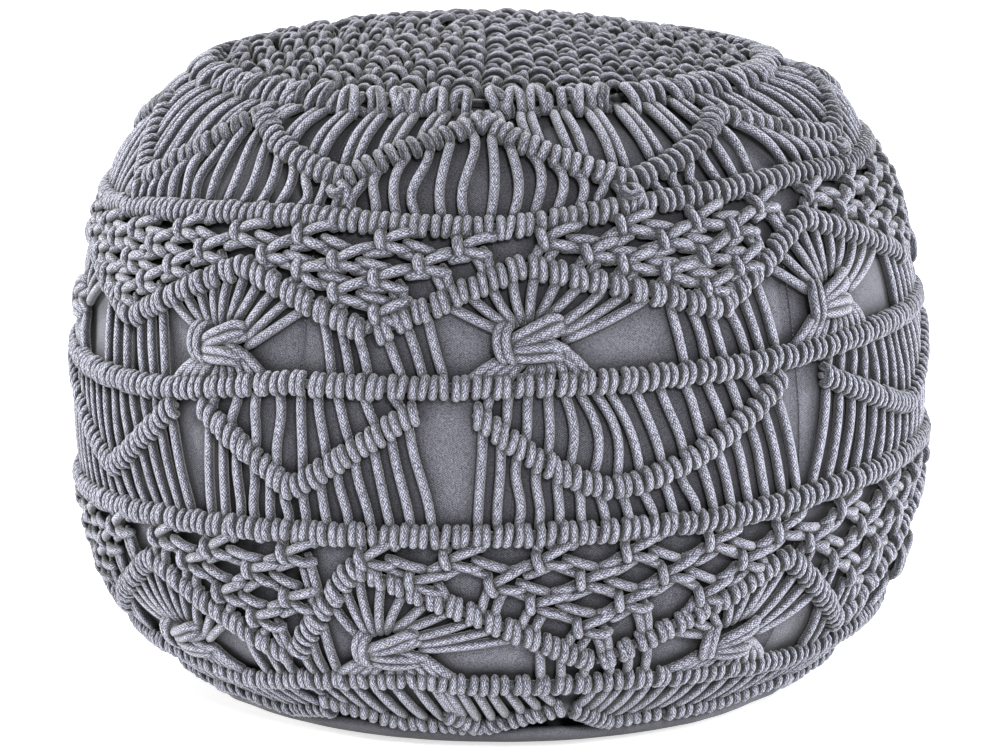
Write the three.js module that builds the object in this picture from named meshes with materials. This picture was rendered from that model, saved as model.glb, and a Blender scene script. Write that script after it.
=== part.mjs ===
// Macrame pouf: a filled cotton casing on a base cloth, under a knotted cover of soft cord.
// Millimetres, +Z up. The pouf stands on z = 0 round the Z axis and its front faces -Y.
import * as THREE from 'three';

// Driving sizes
const HEIGHT = 387.5;
const SHOULDER = { radius: 160, level: 368 };
const COVER_DEPTH = 10.5;
const CLEARANCE = 1;
const PIECE_GAP = 0.5;

// Filled casing: its surface under the cover, and creases where its upright panels are sewn
const CASING_LIFT = -0.8;
const CASING_FOOT = { radius: 165, rise: 7 };
const CASING_SIDE = { lowest: 20, step: 24 };
const CASING_TOP_RADII = [152, 118, 78, 38];
const PANELS = 5;
const PANEL_COLUMNS = 12;
const FIRST_SEAM = -28;
const SEAM_DEPTH = 2.5;
const SEAM_LOWEST = 30;

// Base cloth: its section from the flat underside, round the turned-up edge and back
const BASE_FLAT_RADIUS = 140;
const BASE_THICKNESS = 4;
const BASE_FOLDS = 11;
const BASE_COLUMNS = 44;
const BASE_SECTION = [
  { radius: 70, level: 0 },
  { radius: BASE_FLAT_RADIUS, level: 0 },
  { radius: 160, level: 3.6 },
  { radius: 173, level: 9, pucker: 1 },
  { radius: 175.5, level: 15, pucker: 1 },
  { radius: 171.5, level: 15.5 },
  { radius: 165.5, level: 11 },
  { radius: BASE_FLAT_RADIUS, level: BASE_THICKNESS },
  { radius: 70, level: BASE_THICKNESS },
];

// Outer shape of the cover below the shoulder
const SIDE_PROFILE = [
  { level: 0, radius: 145 },
  { level: 5, radius: 163 },
  { level: 16, radius: 185.5 },
  { level: 35, radius: 210 },
  { level: 62, radius: 230 },
  { level: 95, radius: 241.6 },
  { level: 135, radius: 248.8 },
  { level: 190, radius: 250 },
  { level: 235, radius: 244.5 },
  { level: 270, radius: 237.9 },
  { level: 300, radius: 227.2 },
  { level: 328, radius: 210.5 },
  { level: 350, radius: 192 },
  { level: 368, radius: 160 },
];

// The cover sits askew on the casing: its rings rise to the right by this much at each level
const SKEW = [
  { level: 16, rise: 2 },
  { level: 48, rise: 4.7 },
  { level: 130, rise: 12.2 },
  { level: 315, rise: 12.3 },
  { level: 345, rise: 6 },
  { level: 368, rise: 0 },
];

// Levels of the ridged bars where the cover is not askew
const RIM_LEVEL = 362.5;
const RING = { a: 311.5, b: 221, c: 139.5, d: 49 };
const ARC_TOP = { peak: 355.5, valley: 326 };
const ROOF_UPPER = { peak: 287, valley: 250 };
const ARC_MIDDLE = { peak: 208, valley: 165 };
const ROOF_LOWER = { peak: 120, valley: 66 };
const SCALLOP = { peak: 33, valley: 21 };
const FAN_UPPER_LEVEL = 244.5;
const FAN_LOWER_LEVEL = 73;

// Half widths and heights over the casing
const RIM_HALF = 8;
const BAR_HALF = 5.8;
const CREST_HIGH = 10.5;
const CREST_LOW = 7;
const WEB_LIFT = 4.2;
const WEB_BUMP = 8;
const STRAND_WIDTH = 5.4;

// Where a strand's back and front meet the sloping side of a bar, from its edge to its crest
const SIDE_FOOT = 0.16;
const SIDE_HEAD = 0.68;

// Columns of the bars in each repeat or scallop
const ARC_STEPS = 4;
const SCALLOPS = 16;
const SCALLOP_STEPS = 2;
const RING_COLUMNS = 64;

// One row for each repeat of the pattern: degrees to the right of the front
const REPEATS = [
  {
    arcPeak: -84, arcValley: -60.5, fan: -83, roofValley: -59,
    midPeak: -83, midValley: -62, lowFan: -94, lowValley: -74,
  },
  {
    arcPeak: -41, arcValley: -23, fan: -39.6, roofValley: -17,
    midPeak: -42, midValley: -25, lowFan: -52, lowValley: -30,
  },
  {
    arcPeak: -3, arcValley: 19, fan: 3.8, roofValley: 30,
    midPeak: -6.3, midValley: 15.5, lowFan: -14.3, lowValley: 13.5,
  },
  {
    arcPeak: 38, arcValley: 60, fan: 50, roofValley: 75,
    midPeak: 42, midValley: 68, lowFan: 34, lowValley: 58,
  },
  {
    arcPeak: 81, arcValley: 106, fan: 96, roofValley: 119,
    midPeak: 91, midValley: 114, lowFan: 81, lowValley: 104,
  },
  {
    arcPeak: 130, arcValley: 154, fan: 141, roofValley: 164,
    midPeak: 136, midValley: 159, lowFan: 127, lowValley: 150,
  },
  {
    arcPeak: 178, arcValley: 203, fan: 187, roofValley: 209,
    midPeak: 182, midValley: 205, lowFan: 173, lowValley: 196,
  },
  {
    arcPeak: 227, arcValley: 252, fan: 232, roofValley: 255,
    midPeak: 230, midValley: 253, lowFan: 220, lowValley: 243,
  },
];

// Strands of one repeat, and the degrees that stay bare beside the peaks of their arc
const TOP_STRANDS = 6;
const TOP_MARGIN = 1;
const MIDDLE_STRANDS = 6;
const MIDDLE_MARGIN = 2;

// Sides of a fan's large knot, clockwise from the left: what leaves it there and where that
// ends, as a share of the way from the knot to the valley on that side
const UPPER_FAN = [
  { strand: 'ray', end: -0.6 }, { strand: 'ray', end: -0.12 },
  { strand: 'ray', end: 0.12 }, { strand: 'ray', end: 0.6 },
  { strand: 'foot', end: 0.55 }, { strand: 'foot', end: 0.17 },
  { strand: 'foot', end: -0.17 }, { strand: 'foot', end: -0.55 },
];
const LOWER_FAN = [
  { strand: 'ray', end: -0.6 }, { strand: 'ray', end: -0.12 },
  { strand: 'ray', end: 0.12 }, { strand: 'ray', end: 0.6 },
  { strand: 'foot', end: 0.5 }, { strand: 'none' },
  { strand: 'none' }, { strand: 'foot', end: -0.5 },
];
const POST_SHARE = 0.86;

// Large square knot that gathers a fan
const FAN_KNOT = { half: 16, tall: 10.5, furrow: 7.5, ridge: 9.5, crest: 12 };

// Close rounds of square knots on the top
const ROUNDS = 12;
const TOP_RADIUS = 156.5;
const CROWN_RADIUS = 6;
const TOP_COLUMNS = 48;
const UNDERSIDE_RADII = [118, 78, 38];
const UNDERSIDE_LIFT = -0.25;
const KNOT_CREST = 10.5;
const KNOT_SADDLE = 8.4;
const KNOT_FURROW = 6.2;

// Surface of the pouf
const sideCurve = new THREE.SplineCurve(
  SIDE_PROFILE.map((row) => new THREE.Vector2(row.radius, row.level)),
);
const sideOutline = sideCurve.getPoints(12 * (SIDE_PROFILE.length - 1));

function interpolate(rows, key, value, result) {
  const last = rows.length - 1;
  let index = 1;
  while (index < last && rows[index][key] < value) index += 1;
  const low = rows[index - 1];
  const high = rows[index];
  const share = THREE.MathUtils.clamp((value - low[key]) / (high[key] - low[key]), 0, 1);
  return THREE.MathUtils.lerp(low[result], high[result], share);
}

function radiusAt(height) {
  return interpolate(sideOutline, 'y', height, 'x');
}

function slopeAt(height) {
  return (radiusAt(height + 1.5) - radiusAt(height - 1.5)) / 3;
}

function onSurface(azimuth, height, lift) {
  const slope = slopeAt(height);
  const inward = (COVER_DEPTH - lift) / Math.hypot(1, slope);
  return atRadius(azimuth, radiusAt(height) - inward, height + inward * slope);
}

function onCover(azimuth, level, lift) {
  const rise = interpolate(SKEW, 'level', level, 'rise');
  return onSurface(azimuth, level + rise * Math.sin(THREE.MathUtils.degToRad(azimuth)), lift);
}

// Level that lies a distance above another, measured along the surface
function above(level, distance) {
  return level + distance / Math.hypot(1, slopeAt(level));
}

function atRadius(azimuth, radius, level) {
  const angle = THREE.MathUtils.degToRad(azimuth);
  return new THREE.Vector3(radius * Math.sin(angle), -radius * Math.cos(angle), level);
}

function domeHeight(radius) {
  return HEIGHT - (HEIGHT - SHOULDER.level) * (radius / SHOULDER.radius) ** 2;
}

function onDome(azimuth, radius, lift) {
  return atRadius(azimuth, radius, domeHeight(radius) - COVER_DEPTH + lift);
}

// A skin gathers the points and faces that joined forms share
function emptySkin() {
  return { points: [], faces: [] };
}

function addPoints(skin, points) {
  return points.map((point) => skin.points.push(point) - 1);
}

function addQuad(skin, a, b, c, d) {
  skin.faces.push(a, b, c, a, c, d);
}

// Sections right round the pouf. A row in taken is left open where a strand joins it.
function addLoop(skin, sections, taken = new Set()) {
  const count = sections[0].length;
  sections.forEach((near, index) => {
    const far = sections[(index + 1) % sections.length];
    for (let row = 0; row < count; row += 1) {
      const next = (row + 1) % count;
      if (!taken.has(`${index} ${row}`)) addQuad(skin, near[row], far[row], far[next], near[next]);
    }
  });
}

function geometryOf(skin) {
  const { points, faces } = skin;
  let volume = 0;
  for (let i = 0; i < faces.length; i += 3) {
    const [a, b, c] = faces.slice(i, i + 3).map((index) => points[index]);
    volume += a.dot(new THREE.Vector3().crossVectors(b, c));
  }
  const geometry = new THREE.BufferGeometry().setFromPoints(points);
  geometry.setIndex(volume > 0 ? faces : faces.toReversed());
  geometry.computeVertexNormals();
  return geometry;
}

// Round body closed at two middle points: its sections run out on one face and back on the other
function roundGeometry(sections, firstMiddle, lastMiddle) {
  const skin = emptySkin();
  const rings = sections.map((section) => addPoints(skin, section));
  const last = sections[0].length - 1;
  addLoop(skin, rings, new Set(rings.map((ring, index) => `${index} ${last}`)));
  const [first, second] = addPoints(skin, [firstMiddle, lastMiddle]);
  rings.forEach((near, index) => {
    const far = rings[(index + 1) % rings.length];
    skin.faces.push(first, far[0], near[0], second, near[last], far[last]);
  });
  return geometryOf(skin);
}

// Columns of an arc that falls from its peaks to its valleys right round the pouf
function arcColumns(peak, valley) {
  const columns = [];
  REPEATS.forEach((row, index) => {
    const wraps = index === REPEATS.length - 1;
    const next = REPEATS[(index + 1) % REPEATS.length][peak] + (wraps ? 360 : 0);
    for (let step = 0; step < ARC_STEPS; step += 1) {
      const share = step / ARC_STEPS;
      columns.push({ azimuth: THREE.MathUtils.lerp(row[peak], row[valley], share), up: 1 - share });
    }
    for (let step = 0; step < ARC_STEPS; step += 1) {
      const share = step / ARC_STEPS;
      columns.push({ azimuth: THREE.MathUtils.lerp(row[valley], next, share), up: share });
    }
  });
  return columns;
}

function evenColumns(count, steps) {
  return Array.from({ length: count }, (_, index) => (
    { azimuth: index * (360 / count), up: Math.abs((index % (2 * steps)) - steps) / steps }
  ));
}

function arcLevel(arc, up) {
  return THREE.MathUtils.lerp(arc.valley, arc.peak, up ** 0.85);
}

function crestLift(index) {
  return index % 2 ? CREST_LOW : CREST_HIGH;
}

// Ring or free arc: one ridged bar with a flat back and a raised crest
function ridgedBar(skin, columns, levelOf) {
  const sections = columns.map((column, index) => {
    const level = levelOf(column);
    return addPoints(skin, [
      onCover(column.azimuth, above(level, BAR_HALF), CLEARANCE),
      onCover(column.azimuth, level, crestLift(index)),
      onCover(column.azimuth, above(level, -BAR_HALF), CLEARANCE),
    ]);
  });
  return { columns, sections, upperRow: 0, lowerRow: 1, taken: new Set() };
}

// Two ridged bars with the close knots between them
function knottedBand(skin, columns, upper, lowerOf) {
  const sections = columns.map((column, index) => {
    const { azimuth } = column;
    const lower = lowerOf(column);
    const webTop = above(upper.level, -upper.half);
    const webLow = above(lower, BAR_HALF);
    return addPoints(skin, [
      onCover(azimuth, above(upper.level, upper.half), CLEARANCE),
      onCover(azimuth, upper.level, crestLift(index)),
      onCover(azimuth, webTop, WEB_LIFT),
      onCover(azimuth, (webTop + webLow) / 2, index % 2 ? WEB_LIFT : WEB_BUMP),
      onCover(azimuth, webLow, WEB_LIFT),
      onCover(azimuth, lower, crestLift(index + 1)),
      onCover(azimuth, above(lower, -BAR_HALF), CLEARANCE),
      onCover(azimuth, webLow, 2 * CLEARANCE),
      onCover(azimuth, webTop, 2 * CLEARANCE),
    ]);
  });
  return { columns, sections, upperRow: 0, lowerRow: 5, taken: new Set() };
}

// Opens a bar's sloping side where a strand joins it and gives the four corners of the strand
function openSide(skin, bar, azimuth, isUpper) {
  const { columns, sections } = bar;
  const first = columns[0].azimuth;
  const turn = THREE.MathUtils.euclideanModulo(azimuth - first, 360);
  const found = columns.findLastIndex((column) => column.azimuth - first <= turn);
  const row = isUpper ? bar.upperRow : bar.lowerRow;
  const index = [found, found + 1, found - 1].find((place) => !bar.taken.has(`${place} ${row}`));
  if (index === undefined) throw new Error(`no side is free at ${azimuth} degrees`);
  bar.taken.add(`${index} ${row}`);
  const nextIndex = (index + 1) % columns.length;
  const corners = [
    sections[index][row], sections[nextIndex][row],
    sections[nextIndex][row + 1], sections[index][row + 1],
  ];
  const [a, b, c, d] = corners.map((corner) => skin.points[corner]);
  const start = columns[index].azimuth - first;
  const end = nextIndex === 0 ? 360 : columns[nextIndex].azimuth - first;
  const half = STRAND_WIDTH / 2 / a.distanceTo(b);
  const middle = THREE.MathUtils.clamp((turn - start) / (end - start), 0.1 + half, 0.9 - half);
  const inset = (across, down) => (
    a.clone().lerp(b, across).lerp(d.clone().lerp(c, across), down)
  );
  const [near, far] = isUpper ? [SIDE_FOOT, SIDE_HEAD] : [1 - SIDE_HEAD, 1 - SIDE_FOOT];
  const ring = addPoints(skin, [
    inset(middle - half, near), inset(middle + half, near),
    inset(middle + half, far), inset(middle - half, far),
  ]);
  for (let side = 0; side < 4; side += 1) {
    const next = (side + 1) % 4;
    addQuad(skin, corners[side], corners[next], ring[next], ring[side]);
  }
  return isUpper
    ? { backLeft: ring[0], backRight: ring[1], frontRight: ring[2], frontLeft: ring[3] }
    : { frontLeft: ring[0], frontRight: ring[1], backRight: ring[2], backLeft: ring[3] };
}

function addStrand(skin, top, low) {
  addQuad(skin, top.frontLeft, top.frontRight, low.frontRight, low.frontLeft);
  addQuad(skin, top.frontRight, top.backRight, low.backRight, low.frontRight);
  addQuad(skin, top.backRight, top.backLeft, low.backLeft, low.backRight);
  addQuad(skin, top.backLeft, top.frontLeft, low.frontLeft, low.backLeft);
}

function hangStrand(skin, upperBar, lowerBar, azimuth) {
  const top = openSide(skin, upperBar, azimuth, false);
  addStrand(skin, top, openSide(skin, lowerBar, azimuth, true));
}

// Large square knot whose sides send rays up to the roof and feet down to the ring below
function addFan(skin, shape, place, roofBar, ringBar) {
  const perDegree = THREE.MathUtils.degToRad(radiusAt(place.level));
  const count = shape.length;
  const corner = (index, lift) => {
    const angle = (index / count - 0.25) * 2 * Math.PI;
    return onCover(
      place.azimuth + (FAN_KNOT.half * Math.sin(angle)) / perDegree,
      above(place.level, FAN_KNOT.tall * Math.cos(angle)),
      lift,
    );
  };
  const front = addPoints(skin, shape.map((side, index) => (
    corner(index, index % 2 ? FAN_KNOT.ridge : FAN_KNOT.furrow)
  )));
  const back = addPoints(skin, shape.map((side, index) => corner(index, CLEARANCE)));
  const [middle] = addPoints(skin, [onCover(place.azimuth, place.level, FAN_KNOT.crest)]);
  shape.forEach((side, index) => {
    const next = (index + 1) % count;
    skin.faces.push(middle, front[index], front[next]);
    if (index > 0 && next > 0) skin.faces.push(back[0], back[next], back[index]);
    const valley = side.end < 0 ? place.leftValley : place.rightValley;
    const end = THREE.MathUtils.lerp(place.azimuth, valley, Math.abs(side.end));
    if (side.strand === 'ray') {
      addStrand(skin, openSide(skin, roofBar, end, false), {
        frontLeft: front[index],
        frontRight: front[next],
        backRight: back[next],
        backLeft: back[index],
      });
    } else if (side.strand === 'foot') {
      addStrand(skin, {
        frontLeft: front[next],
        frontRight: front[index],
        backRight: back[index],
        backLeft: back[next],
      }, openSide(skin, ringBar, end, true));
    } else {
      addQuad(skin, front[next], front[index], back[index], back[next]);
    }
  });
  for (const valley of [place.leftValley, place.rightValley]) {
    hangStrand(skin, roofBar, ringBar, THREE.MathUtils.lerp(place.azimuth, valley, POST_SHARE));
  }
}

// Evenly spread places between two azimuths
function spread(start, end, count) {
  return Array.from({ length: count }, (_, index) => (
    THREE.MathUtils.lerp(start, end, (index + 0.5) / count)
  ));
}

function turned(row, turns) {
  return Object.fromEntries(Object.entries(row).map(([key, value]) => [key, value + 360 * turns]));
}

// Side of the cover: bars all round, the strands between them and the two rows of fans
function sideNet() {
  const skin = emptySkin();
  const rim = { level: RIM_LEVEL, half: RIM_HALF };
  const topBand = knottedBand(skin, arcColumns('arcPeak', 'arcValley'), rim,
    (column) => arcLevel(ARC_TOP, column.up));
  const upperBand = knottedBand(skin, arcColumns('fan', 'roofValley'),
    { level: RING.a, half: BAR_HALF }, (column) => arcLevel(ROOF_UPPER, column.up));
  const middleRing = ridgedBar(skin, evenColumns(RING_COLUMNS, 1), () => RING.b);
  const middleArc = ridgedBar(skin, arcColumns('midPeak', 'midValley'),
    (column) => arcLevel(ARC_MIDDLE, column.up));
  const lowerBand = knottedBand(skin, arcColumns('lowFan', 'lowValley'),
    { level: RING.c, half: BAR_HALF }, (column) => arcLevel(ROOF_LOWER, column.up));
  const footBand = knottedBand(skin, evenColumns(SCALLOPS * SCALLOP_STEPS * 2, SCALLOP_STEPS),
    { level: RING.d, half: BAR_HALF }, (column) => arcLevel(SCALLOP, column.up));
  REPEATS.forEach((row, index) => {
    const wraps = index === REPEATS.length - 1;
    const next = wraps ? turned(REPEATS[0], 1) : REPEATS[index + 1];
    const before = index === 0 ? turned(REPEATS.at(-1), -1) : REPEATS[index - 1];
    const topEnds = [row.arcPeak + TOP_MARGIN, next.arcPeak - TOP_MARGIN];
    for (const azimuth of spread(...topEnds, TOP_STRANDS)) {
      hangStrand(skin, topBand, upperBand, azimuth);
    }
    const middleEnds = [row.midPeak + MIDDLE_MARGIN, next.midPeak - MIDDLE_MARGIN];
    for (const azimuth of spread(...middleEnds, MIDDLE_STRANDS)) {
      hangStrand(skin, middleRing, middleArc, azimuth);
      hangStrand(skin, middleArc, lowerBand, azimuth);
    }
    const upperPlace = {
      azimuth: row.fan,
      level: FAN_UPPER_LEVEL,
      leftValley: before.roofValley,
      rightValley: row.roofValley,
    };
    addFan(skin, UPPER_FAN, upperPlace, upperBand, middleRing);
    const lowerPlace = {
      azimuth: row.lowFan,
      level: FAN_LOWER_LEVEL,
      leftValley: before.lowValley,
      rightValley: row.lowValley,
    };
    addFan(skin, LOWER_FAN, lowerPlace, lowerBand, footBand);
  });
  for (const bar of [topBand, upperBand, middleRing, middleArc, lowerBand, footBand]) {
    addLoop(skin, bar.sections, bar.taken);
  }
  return geometryOf(skin);
}

// Top of the cover: a lumpy dome whose knots sit between those of the next round
function topKnots() {
  const step = (TOP_RADIUS - CROWN_RADIUS) / ROUNDS;
  const sections = Array.from({ length: TOP_COLUMNS }, (_, column) => {
    const azimuth = column * (360 / TOP_COLUMNS);
    const section = [];
    for (let round = 0; round < ROUNDS; round += 1) {
      const inner = CROWN_RADIUS + round * step;
      const crest = (column + round) % 2 ? KNOT_SADDLE : KNOT_CREST;
      section.push(onDome(azimuth, inner, KNOT_FURROW));
      section.push(onDome(azimuth, inner + step / 2, crest));
    }
    section.push(onDome(azimuth, TOP_RADIUS, KNOT_FURROW - PIECE_GAP));
    section.push(onDome(azimuth, TOP_RADIUS, UNDERSIDE_LIFT));
    for (const radius of UNDERSIDE_RADII) {
      section.push(onDome(azimuth, radius, UNDERSIDE_LIFT));
    }
    return section;
  });
  return roundGeometry(sections, onDome(0, 0, KNOT_SADDLE), onDome(0, 0, UNDERSIDE_LIFT));
}

// Section of the filled casing, from its flat underside to the crown
function casingSection(floor) {
  const section = [
    { radius: BASE_FLAT_RADIUS, level: floor },
    { radius: CASING_FOOT.radius, level: floor + CASING_FOOT.rise },
  ];
  for (let level = CASING_SIDE.lowest; level < SHOULDER.level; level += CASING_SIDE.step) {
    const point = onSurface(0, level, CASING_LIFT);
    section.push({ radius: -point.y, level: point.z });
  }
  for (const radius of CASING_TOP_RADII) {
    section.push({ radius, level: onDome(0, radius, CASING_LIFT).z });
  }
  return section;
}

function casing() {
  const columns = PANELS * PANEL_COLUMNS;
  const floor = BASE_THICKNESS + PIECE_GAP;
  const outline = casingSection(floor);
  const sections = Array.from({ length: columns }, (_, column) => {
    const azimuth = FIRST_SEAM + column * (360 / columns);
    const isSeam = column % PANEL_COLUMNS === 0;
    return outline.map(({ radius, level }) => {
      const isSide = level > SEAM_LOWEST && level < SHOULDER.level - COVER_DEPTH;
      return atRadius(azimuth, radius - (isSeam && isSide ? SEAM_DEPTH : 0), level);
    });
  });
  return roundGeometry(sections, new THREE.Vector3(0, 0, floor), onDome(0, 0, CASING_LIFT));
}

// Base cloth: a flat round whose puckered edge turns up round the foot of the casing
function baseCloth() {
  const sections = Array.from({ length: BASE_COLUMNS }, (_, column) => {
    const azimuth = column * (360 / BASE_COLUMNS);
    const fold = Math.sin(THREE.MathUtils.degToRad(azimuth * BASE_FOLDS));
    return BASE_SECTION.map(({ radius, level, pucker = 0 }) => (
      atRadius(azimuth, radius + pucker * fold, level)
    ));
  });
  const middle = new THREE.Vector3(0, 0, BASE_THICKNESS);
  return roundGeometry(sections, new THREE.Vector3(), middle);
}

function piece(name, geometry, colour, roughness) {
  const material = new THREE.MeshStandardMaterial({ color: colour, roughness, metalness: 0 });
  const mesh = new THREE.Mesh(geometry, material);
  mesh.name = name;
  return mesh;
}

const pouf = new THREE.Group();
pouf.add(piece('casing', casing(), 0x6f6e79, 0.95));
pouf.add(piece('base_cloth', baseCloth(), 0x4c4b53, 0.95));
pouf.add(piece('side_net', sideNet(), 0x8b8b9b, 0.9));
pouf.add(piece('top_knots', topKnots(), 0x8b8b9b, 0.9));

export default pouf;
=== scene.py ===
"""Looks of a macrame pouf: a filled casing on a base cloth, under a knotted cover of soft cord.

The cover is described on the pouf's own surface. An azimuth is in degrees to the right of the
front, a level is a height in millimetres where the cover isn't askew, a run is the distance in
millimetres along the surface from the crown, and a lift is the height over the casing's skin.
"""

import math

import bpy
import numpy as np
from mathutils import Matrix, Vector


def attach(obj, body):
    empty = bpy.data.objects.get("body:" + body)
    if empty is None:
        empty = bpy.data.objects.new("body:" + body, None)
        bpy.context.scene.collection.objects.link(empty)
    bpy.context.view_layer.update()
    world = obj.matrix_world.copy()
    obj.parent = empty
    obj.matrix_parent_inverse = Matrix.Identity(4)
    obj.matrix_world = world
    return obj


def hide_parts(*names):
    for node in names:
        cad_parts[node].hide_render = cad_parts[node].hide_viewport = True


bl_info = {
    "name": "Macrame Pouf",
    "version": (1, 0, 0),
    "blender": (4, 5, 0),
    "location": "View3D > Sidebar > Pouf",
    "description": "Dresses a macrame pouf over its packed solids",
    "category": "Add Mesh",
}

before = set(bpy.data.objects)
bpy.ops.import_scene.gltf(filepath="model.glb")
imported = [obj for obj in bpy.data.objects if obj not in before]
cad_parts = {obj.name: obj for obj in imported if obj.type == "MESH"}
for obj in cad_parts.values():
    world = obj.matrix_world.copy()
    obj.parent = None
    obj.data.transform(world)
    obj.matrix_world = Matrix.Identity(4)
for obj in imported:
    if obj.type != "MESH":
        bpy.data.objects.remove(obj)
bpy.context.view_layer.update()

MM = 0.001
CROWN = 387.5
SHOULDER_RADIUS = 160.0
SHOULDER_LEVEL = 368.0
COVER_DEPTH = 10.5
BASE_TOP = 4.0

# Outer shape of the cover below the shoulder: level and radius
SIDE_PROFILE = np.array([
    (0, 145), (5, 163), (16, 185.5), (35, 210), (62, 230), (95, 241.6), (135, 248.8),
    (190, 250), (235, 244.5), (270, 237.9), (300, 227.2), (328, 210.5), (350, 192), (368, 160),
], dtype=float)

# The cover sits askew: its rings rise to the right by this much at each level
SKEW_LEVELS = [16, 48, 130, 315, 345, 368]
SKEW_RISES = [2, 4.7, 12.2, 12.3, 6, 0]

# Soft swells and hollows of the filling: height, azimuth and its spread, run and its spread
SWELLS = [(-4.5, 108, 42, 128, 34), (4.0, 84, 26, 182, 20), (4.0, -80, 26, 182, 20),
          (1.5, -110, 40, 120, 34)]

CORDS_PER_REPEAT = 16
REPEATS = 8
CORDS = CORDS_PER_REPEAT * REPEATS

# Level rings of wrapped cord: azimuth and level
RING_A = [(-90, 305), (-75, 305), (-60, 309.5), (-45, 313), (-30, 314.3), (0, 305.6),
          (20, 311.7), (50, 313), (64, 309), (85, 310), (180, 311), (240, 309)]
RING_B = [(-72, 213), (-50, 213.5), (-30, 224.5), (0, 221.9), (30, 218.7), (60, 220),
          (80, 219.5), (180, 222), (250, 220)]
RING_C = [(-70, 137.7), (-50, 140.6), (-27, 141.8), (0, 139.7), (30, 136.1), (50, 139.4),
          (70, 140.8), (180, 139), (240, 140)]
RING_D = [(-90, 47), (-57, 44), (-42, 36), (-30, 44.5), (-12, 52.5), (-5, 47.3), (10, 46.1),
          (20, 46.5), (36, 43.5), (50, 40), (66, 45), (85, 48), (180, 49), (240, 50)]

# Arcs under the rim: each hangs from a peak through a valley to the next peak
UPPER_ARCS = [
    [(-78, 354), (-65.6, 322), (-45.5, 357)],
    [(-45, 357), (-22.9, 331.4), (-3, 358.5)],
    [(-3, 358.5), (19.3, 324), (41, 354.5)],
    [(41.5, 355), (66, 326), (85, 360)],
    [(85, 360), (106, 327), (130, 356)],
    [(130, 356), (154, 329), (178, 355)],
    [(178, 355), (203, 326), (227, 356)],
    [(227, 356), (254, 328), (282, 354)],
]

# How each arc bends on its way down to its valley and up again: 1 is straight, more is a garland
UPPER_BENDS = [(1.2, 1.1), (1.35, 0.75), (1.0, 1.45), (1.2, 1.2), (1.3, 0.9), (1.1, 1.3),
               (1.2, 0.8), (1.0, 1.2)]

# A wrap round a bar, in millimetres: how much of the bar it takes up, how far it reaches over
# the bar's sides, the lift of its middle and how far it arches over that. Its turn is how far it
# goes round the bar to each side, in degrees.
WRAP_PITCH = 5.8
WRAP_REACH = 4.7
WRAP_LIFT = 4.1
WRAP_ARCH = 3.7
WRAP_TURN = 122
# The wraps of the upper arcs are looser and stand higher
UPPER_REACH = 5.1
UPPER_LIFT = 4.7
UPPER_THICKNESS = 1.04

# Millimetres of each upper arc that one wrap takes up
UPPER_PITCHES = [6.8, 6.5, 6.4, 7.2, 6.6, 6.4, 6.7, 6.9]

# How far the strands below each upper arc slip round the pouf on their way to the ring, in degrees
# at five shares of the arc
UPPER_SLIPS = [(0, 0, 0, 0, 0), (0, 0, 0, 0, 0), (0, 0, 0, 1, 2), (6.5, 5, 2, 0, 0),
               (2, 1, 0, 0, 0), (0, 0, 1, 1, 0), (1, 0, 0, -1, 0), (0, 1, 1, 0, 0)]

# Roofs over the upper fans: each climbs from a valley to its peak and falls again
UPPER_ROOFS = [
    [(-109, 250), (-83, 287), (-59, 249)],
    [(-58, 248.9), (-37, 286.2), (-17.6, 251)],
    [(-16.4, 251), (3, 285.7), (30.4, 251.1)],
    [(30.4, 251.1), (47.5, 291.1), (75, 250)],
    [(75, 250), (96, 288), (119, 251)],
    [(119, 251), (141, 286), (164, 249)],
    [(164, 249), (187, 287), (209, 252)],
    [(209, 252), (232, 288), (251, 250)],
]
# The roofs are slightly domed
UPPER_ROOF_BEND = (0.9, 0.9)
LOWER_ROOF_BEND = (0.95, 0.95)

# Arcs below the second ring, which stop short of each other at their ends
MIDDLE_ARCS = [
    [(-82, 208), (-61.8, 162), (-46.6, 206.5)],
    [(-41.8, 208), (-27.3, 165.4), (-10.4, 211)],
    [(-3.3, 209), (14.6, 162), (39.4, 209.5)],
    [(46.6, 205), (70, 168.7), (89, 207)],
    [(94, 208), (114, 164), (134, 209)],
    [(139, 207), (159, 166), (180, 208)],
    [(185, 209), (205, 163), (227, 207)],
    [(233, 208), (253, 165), (273, 208)],
]

# How each middle arc bends on its way down and up again
MIDDLE_BENDS = [(1.15, 1.15), (1.0, 1.04), (1.5, 1.7), (1.2, 1.1), (1.1, 1.1), (1.4, 1.3),
                (1.0, 1.1), (1.2, 1.3)]

# How far the strands slip round the pouf from each middle arc to the ring above it and to the
# one below it, in degrees at five shares of the arc
MIDDLE_SLIPS = [
    [(-3, -3, -3, -2, -1), (1, 2, 3, 4.3, 3.7)],
    [(0.5, 0.3, -0.5, -2.7, -1.5), (0.1, 0.1, 0.4, 2.3, 3.2)],
    [(1.2, 0.2, -4.4, -2.6, -1.2), (-0.8, 0.2, 2.2, 2.8, 4.2)],
    [(1, 0, -1, -2, -1), (-3.5, -2, -1, 0.5, 1)],
    [(0.6, -0.5, -1.5, -1, 0), (0, 0.6, 1.5, 2, 2)],
    [(0.5, 0, -2.5, -2, -1), (-0.5, 0.3, 1.5, 2.5, 3)],
    [(0, -0.5, -1, -1.5, -1), (-1.5, -0.5, 0.5, 1, 1.5)],
    [(0.8, 0.2, -2, -2.5, -1), (-0.5, 0.3, 1.2, 2, 3)],
]

# Plain strands: their pitch under the arcs, how deep their ends tuck behind a bar, and the length
# below which none is made
STRAND_PITCH = 12.8
STRAND_TUCK = 2.5
SHORTEST_STRAND = 5

# How deep the cords of the nets and fans and the upper ends of the foot's cords tuck behind a
# bar, how deep a fan's rays do, and the length below which a net has no cord
BAR_TUCK = 3
RAY_TUCK = 3.5
SHORTEST_NET_CORD = 1.5

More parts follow.
